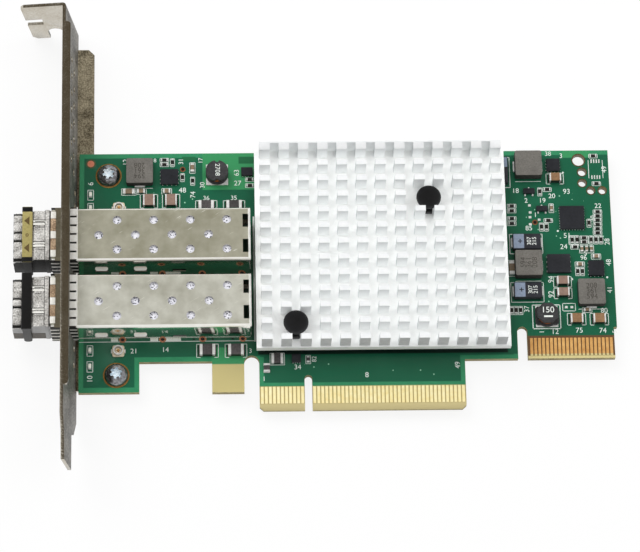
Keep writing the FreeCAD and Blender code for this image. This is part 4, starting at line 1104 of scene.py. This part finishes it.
solder_shade = finish("solder_shade", (88, 84, 76), (30, 28, 26), 0.15, 0.35, 2600, metal=0.5,
                      bump=0.4)
chip_kinds = (
    ("large_ceramic_capacitors", "large_capacitors", ceramic_pink, 0.13, 0.3, "ceramic_brown"),
    ("small_ceramic_capacitors", "small_capacitors", ceramic_beige, 0.24, 0.05, "ceramic_brown"),
    ("chip_resistors", "resistor_chips", glaze_black_and_shade, 0.18, 0.04, "resistor_dark"),
    ("ferrite_beads", "bead_chips", bead_grey, 0.2, 0.3, "ferrite"),
    ("fuse", "fuse_chip", ceramic_beige, 0.25, 0.15, "ceramic_brown"),
)
chip_boxes = {}
for node, name, body, end_share, grow, slot_name in chip_kinds:
    parts = []
    chip_boxes[node] = islands(node)
    for low, high in chip_boxes[node]:
        # A few shells differ in colour from the others of their kind.
        large = node == "large_ceramic_capacitors"
        tan = large and low.x > 60 and not 24 < low.y < 57
        grey = -12 < low.x < 0 and low.y < 20
        terminal = large and 44 < low.x < 56 and 28 < low.y < 46
        shell = bead_grey if grey or terminal else ceramic_tan if tan else body
        parts.extend(chip_part(low, high, shell, end_share, grow,
                               solder_shade if large or node == "ferrite_beads" else solder, large))
    kind = gather(name, parts)
    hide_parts(node)

# ---------------- lights and jacks
# Four clear chip lights by the bracket, and two tiny coaxial jacks.
lens = finish("led_lens", (250, 250, 240), (232, 234, 216), 0.2, 0.35, 1500)
jack_ivory = finish("jack_ivory", (232, 220, 196), (206, 190, 160), 0.4, 0.55, 1600, bump=0.1)
parts = []
led_boxes = islands("led_indicators")
for low, high in led_boxes:
    trim = Vector((0.14, 0.28, 0))
    parts.extend(chip_part(low + trim, high - trim, lens, 0.2, 0.04))
lights = gather("indicator_chips", parts)
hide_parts("led_indicators")
parts = []
shells = []
for low, high in islands("coax_jack_bases"):
    middle = (low + high) / 2
    base = add_box(parts, jack_ivory, (low.x, high.x), (low.y, high.y), (0.0, high.z))
    round_edges(base, standing, 0.45, 2)
    rounded(base, 0.06)
    for outer, inner, top_z, material in ((1.25, 0.95, 1.35, tin), (0.72, 0.42, 0.8, jack_ivory),
                                          (0.26, 0, 1.15, gold_warm)):
        shells.append(flat_ring(middle.x, middle.y, outer, inner, 0.35, top_z, material))
    for x in (low.x - 0.3, high.x - 0.1):
        add_box(parts, solder, (x, x + 0.4), around(middle.y, 0.5), (0.0, 0.15))
bases = gather("jack_mouldings", parts)
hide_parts("coax_jack_bases")
barrels = gather("jack_barrels", shells)
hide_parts("coax_jack_shells")

# ---------------- silkscreen
# White ink on the mask: outlines round the parts, the frames of the cages and
# plain index numbers. Bare pads of parts that are not fitted lie beside it.
ink_parts = []


def ink_line(x0, y0, x1, y1, width=0.15):
    """One straight stroke of ink along X or Y."""
    half = width / 2
    add_box(ink_parts, silk_white, (min(x0, x1) - half, max(x0, x1) + half),
            (min(y0, y1) - half, max(y0, y1) + half), (0.0, 0.02))


def ink_frame(low_x, low_y, high_x, high_y, width=0.15):
    """A closed rectangle of ink."""
    for y in (low_y, high_y):
        ink_line(low_x, y, high_x, y, width)
    for x in (low_x, high_x):
        ink_line(x, low_y, x, high_y, width)


for node, grow in (("chip_resistors", 0.18), ("small_ceramic_capacitors", 0.25)):
    for low, high in chip_boxes[node]:
        wide = high.x - low.x > high.y - low.y
        side, end = (grow, grow + 0.1) if wide else (grow + 0.1, grow)
        ink_frame(low.x - end, low.y - side, high.x + end, high.y + side, 0.13)
for node in ("large_ceramic_capacitors", "ferrite_beads"):
    for low, high in chip_boxes[node]:
        for x, turn in ((low.x - 0.75, 1), (high.x + 0.75, -1)):
            ink_line(x, low.y - 0.35, x, high.y + 0.35)
            for y in (low.y - 0.35, high.y + 0.35):
                ink_line(x, y, x + 0.9 * turn, y)
for low, high in led_boxes:
    ink_frame(low.x - 0.22, low.y - 0.42, high.x + 0.22, high.y + 0.42)
ink_frame(56.55, 20.75, 63.5, 27.05, 0.22)
for low, high in islands("tantalum_capacitors"):
    ink_frame(low.x - 0.5, low.y - 0.5, high.x + 0.5, high.y + 0.45, 0.17)
for low, high in islands("moulded_inductors"):
    ink_line(low.x + 0.2, low.y - 0.55, high.x - 0.2, low.y - 0.55)
for line in ((-56.9, 18.3, -13.1, 18.3), (-13.1, 18.3, -13.1, 51.3),
             (-48.8, 18.65, -47.5, 18.65), (-39.0, 18.65, -37.5, 18.65),
             (-35.2, 18.65, -31.8, 18.65), (-48.8, 36.1, -47.3, 36.1), (-39.0, 36.1, -37.5, 36.1),
             (-35.2, 36.1, -31.8, 36.1)):
    ink_line(*line, 0.16 if abs(line[2] - line[0]) > 5 else 0.45)
letter_scale = 1.12
for text, x, y, size, turn in (
    ("6", -54.2, 60.8, 1.7, 90), ("12", -45.4, 66.6, 1.6, 90), ("18", -38.3, 67.0, 1.3, 0),
    ("31", -31.3, 66.7, 1.5, 90), ("48", -31.0, 58.8, 1.7, 0), ("74", -28.3, 57.6, 1.6, 90),
    ("30", -25.9, 60.2, 1.5, 90), ("17", -26.3, 66.9, 1.4, 90), ("36", -25.0, 56.6, 1.5, 0),
    ("35", -18.0, 56.6, 1.5, 0), ("63", -17.2, 63.5, 1.6, 90), ("27", -17.0, 60.6, 1.7, 0),
    ("14", -35.5, 16.1, 1.6, 0), ("21", -43.3, 15.8, 1.6, 0), ("10", -54.2, 8.6, 1.7, 90),
    ("3", -14.3, 15.6, 1.5, 0), ("38", 62.3, 68.0, 1.5, 0), ("3", 65.6, 67.4, 1.6, 0),
    ("18", 53.6, 57.9, 1.6, 0), ("20", 62.8, 56.4, 1.6, 0), ("93", 66.6, 57.6, 1.7, 0),
    ("49", 76.5, 63.6, 1.6, 90), ("2", 56.2, 55.2, 1.6, 0), ("19", 60.3, 55.2, 1.6, 0),
    ("1", 58.4, 51.3, 1.6, 0), ("22", 74.4, 53.6, 1.6, 0), ("28", 76.3, 43.9, 1.6, 90),
    ("51", 66.2, 45.6, 1.7, 0), ("24", 65.2, 42.6, 1.7, 0), ("5", 70.6, 40.8, 1.6, 0),
    ("96", 70.1, 39.6, 1.5, 0), ("48", 76.4, 38.3, 1.6, 90), ("94", 61.6, 33.9, 1.7, 90),
    ("92", 61.5, 29.9, 1.7, 90), ("41", 76.3, 31.0, 1.6, 90), ("80", 74.6, 25.4, 1.6, 0),
    ("12", 62.0, 19.9, 1.7, 0), ("75", 68.1, 20.2, 1.7, 0), ("74", 74.0, 20.1, 1.7, 0),
    ("1", 58.7, 19.9, 1.5, 90), ("5", 77.0, 19.8, 1.4, 90), ("8", 14.6, 9.0, 1.7, 0),
    ("1", -11.0, 8.2, 1.5, 0), ("49", 37.3, 11.4, 1.6, 90), ("34", -2.6, 11.2, 1.6, 0),
    ("82", 1.6, 13.3, 1.4, 90), ("85", 56.6, 47.7, 1.6, 0), ("37", 55.2, 26.0, 1.6, 90),
    ("20", 73.0, 50.2, 1.5, 90),
):
    ink_parts.append(mark(text, x, y, 0.012, size * letter_scale, silk_white, turn))
for x, y in ((65.9, 62.8), (68.2, 36.2), (75.8, 34.3), (63.9, 46.9), (66.9, 33.9)):
    ink_parts.append(flat_ring(x, y, 0.26, 0, 0.0, 0.02, silk_white, 16))
ink_frame(64.2, 25.4, 67.4, 27.4)
ink_frame(66.6, 43.2, 69.2, 45.6)
for x in (72.5, 76.1):
    ink_line(x, 61.3, x, 66.1)
silkscreen = gather("silkscreen", ink_parts)
bare_pads = []
for step in range(4):
    for y in (61.5, 65.9):
        add_box(bare_pads, solder, (73.12 + 0.66 * step, 73.42 + 0.66 * step), around(y, 0.5),
                (0.0, 0.06), 0.02)
for x, y in ((65.1, 26.4), (66.5, 26.4), (57.0, 53.9), (57.1, 52.0), (57.0, 50.7), (57.0, 48.8),
             (59.2, 53.1), (59.3, 50.0)):
    add_box(bare_pads, solder, around(x, 0.35), around(y, 0.3), (0.0, 0.06), 0.02)
bare_pads = gather("bare_pads", bare_pads)
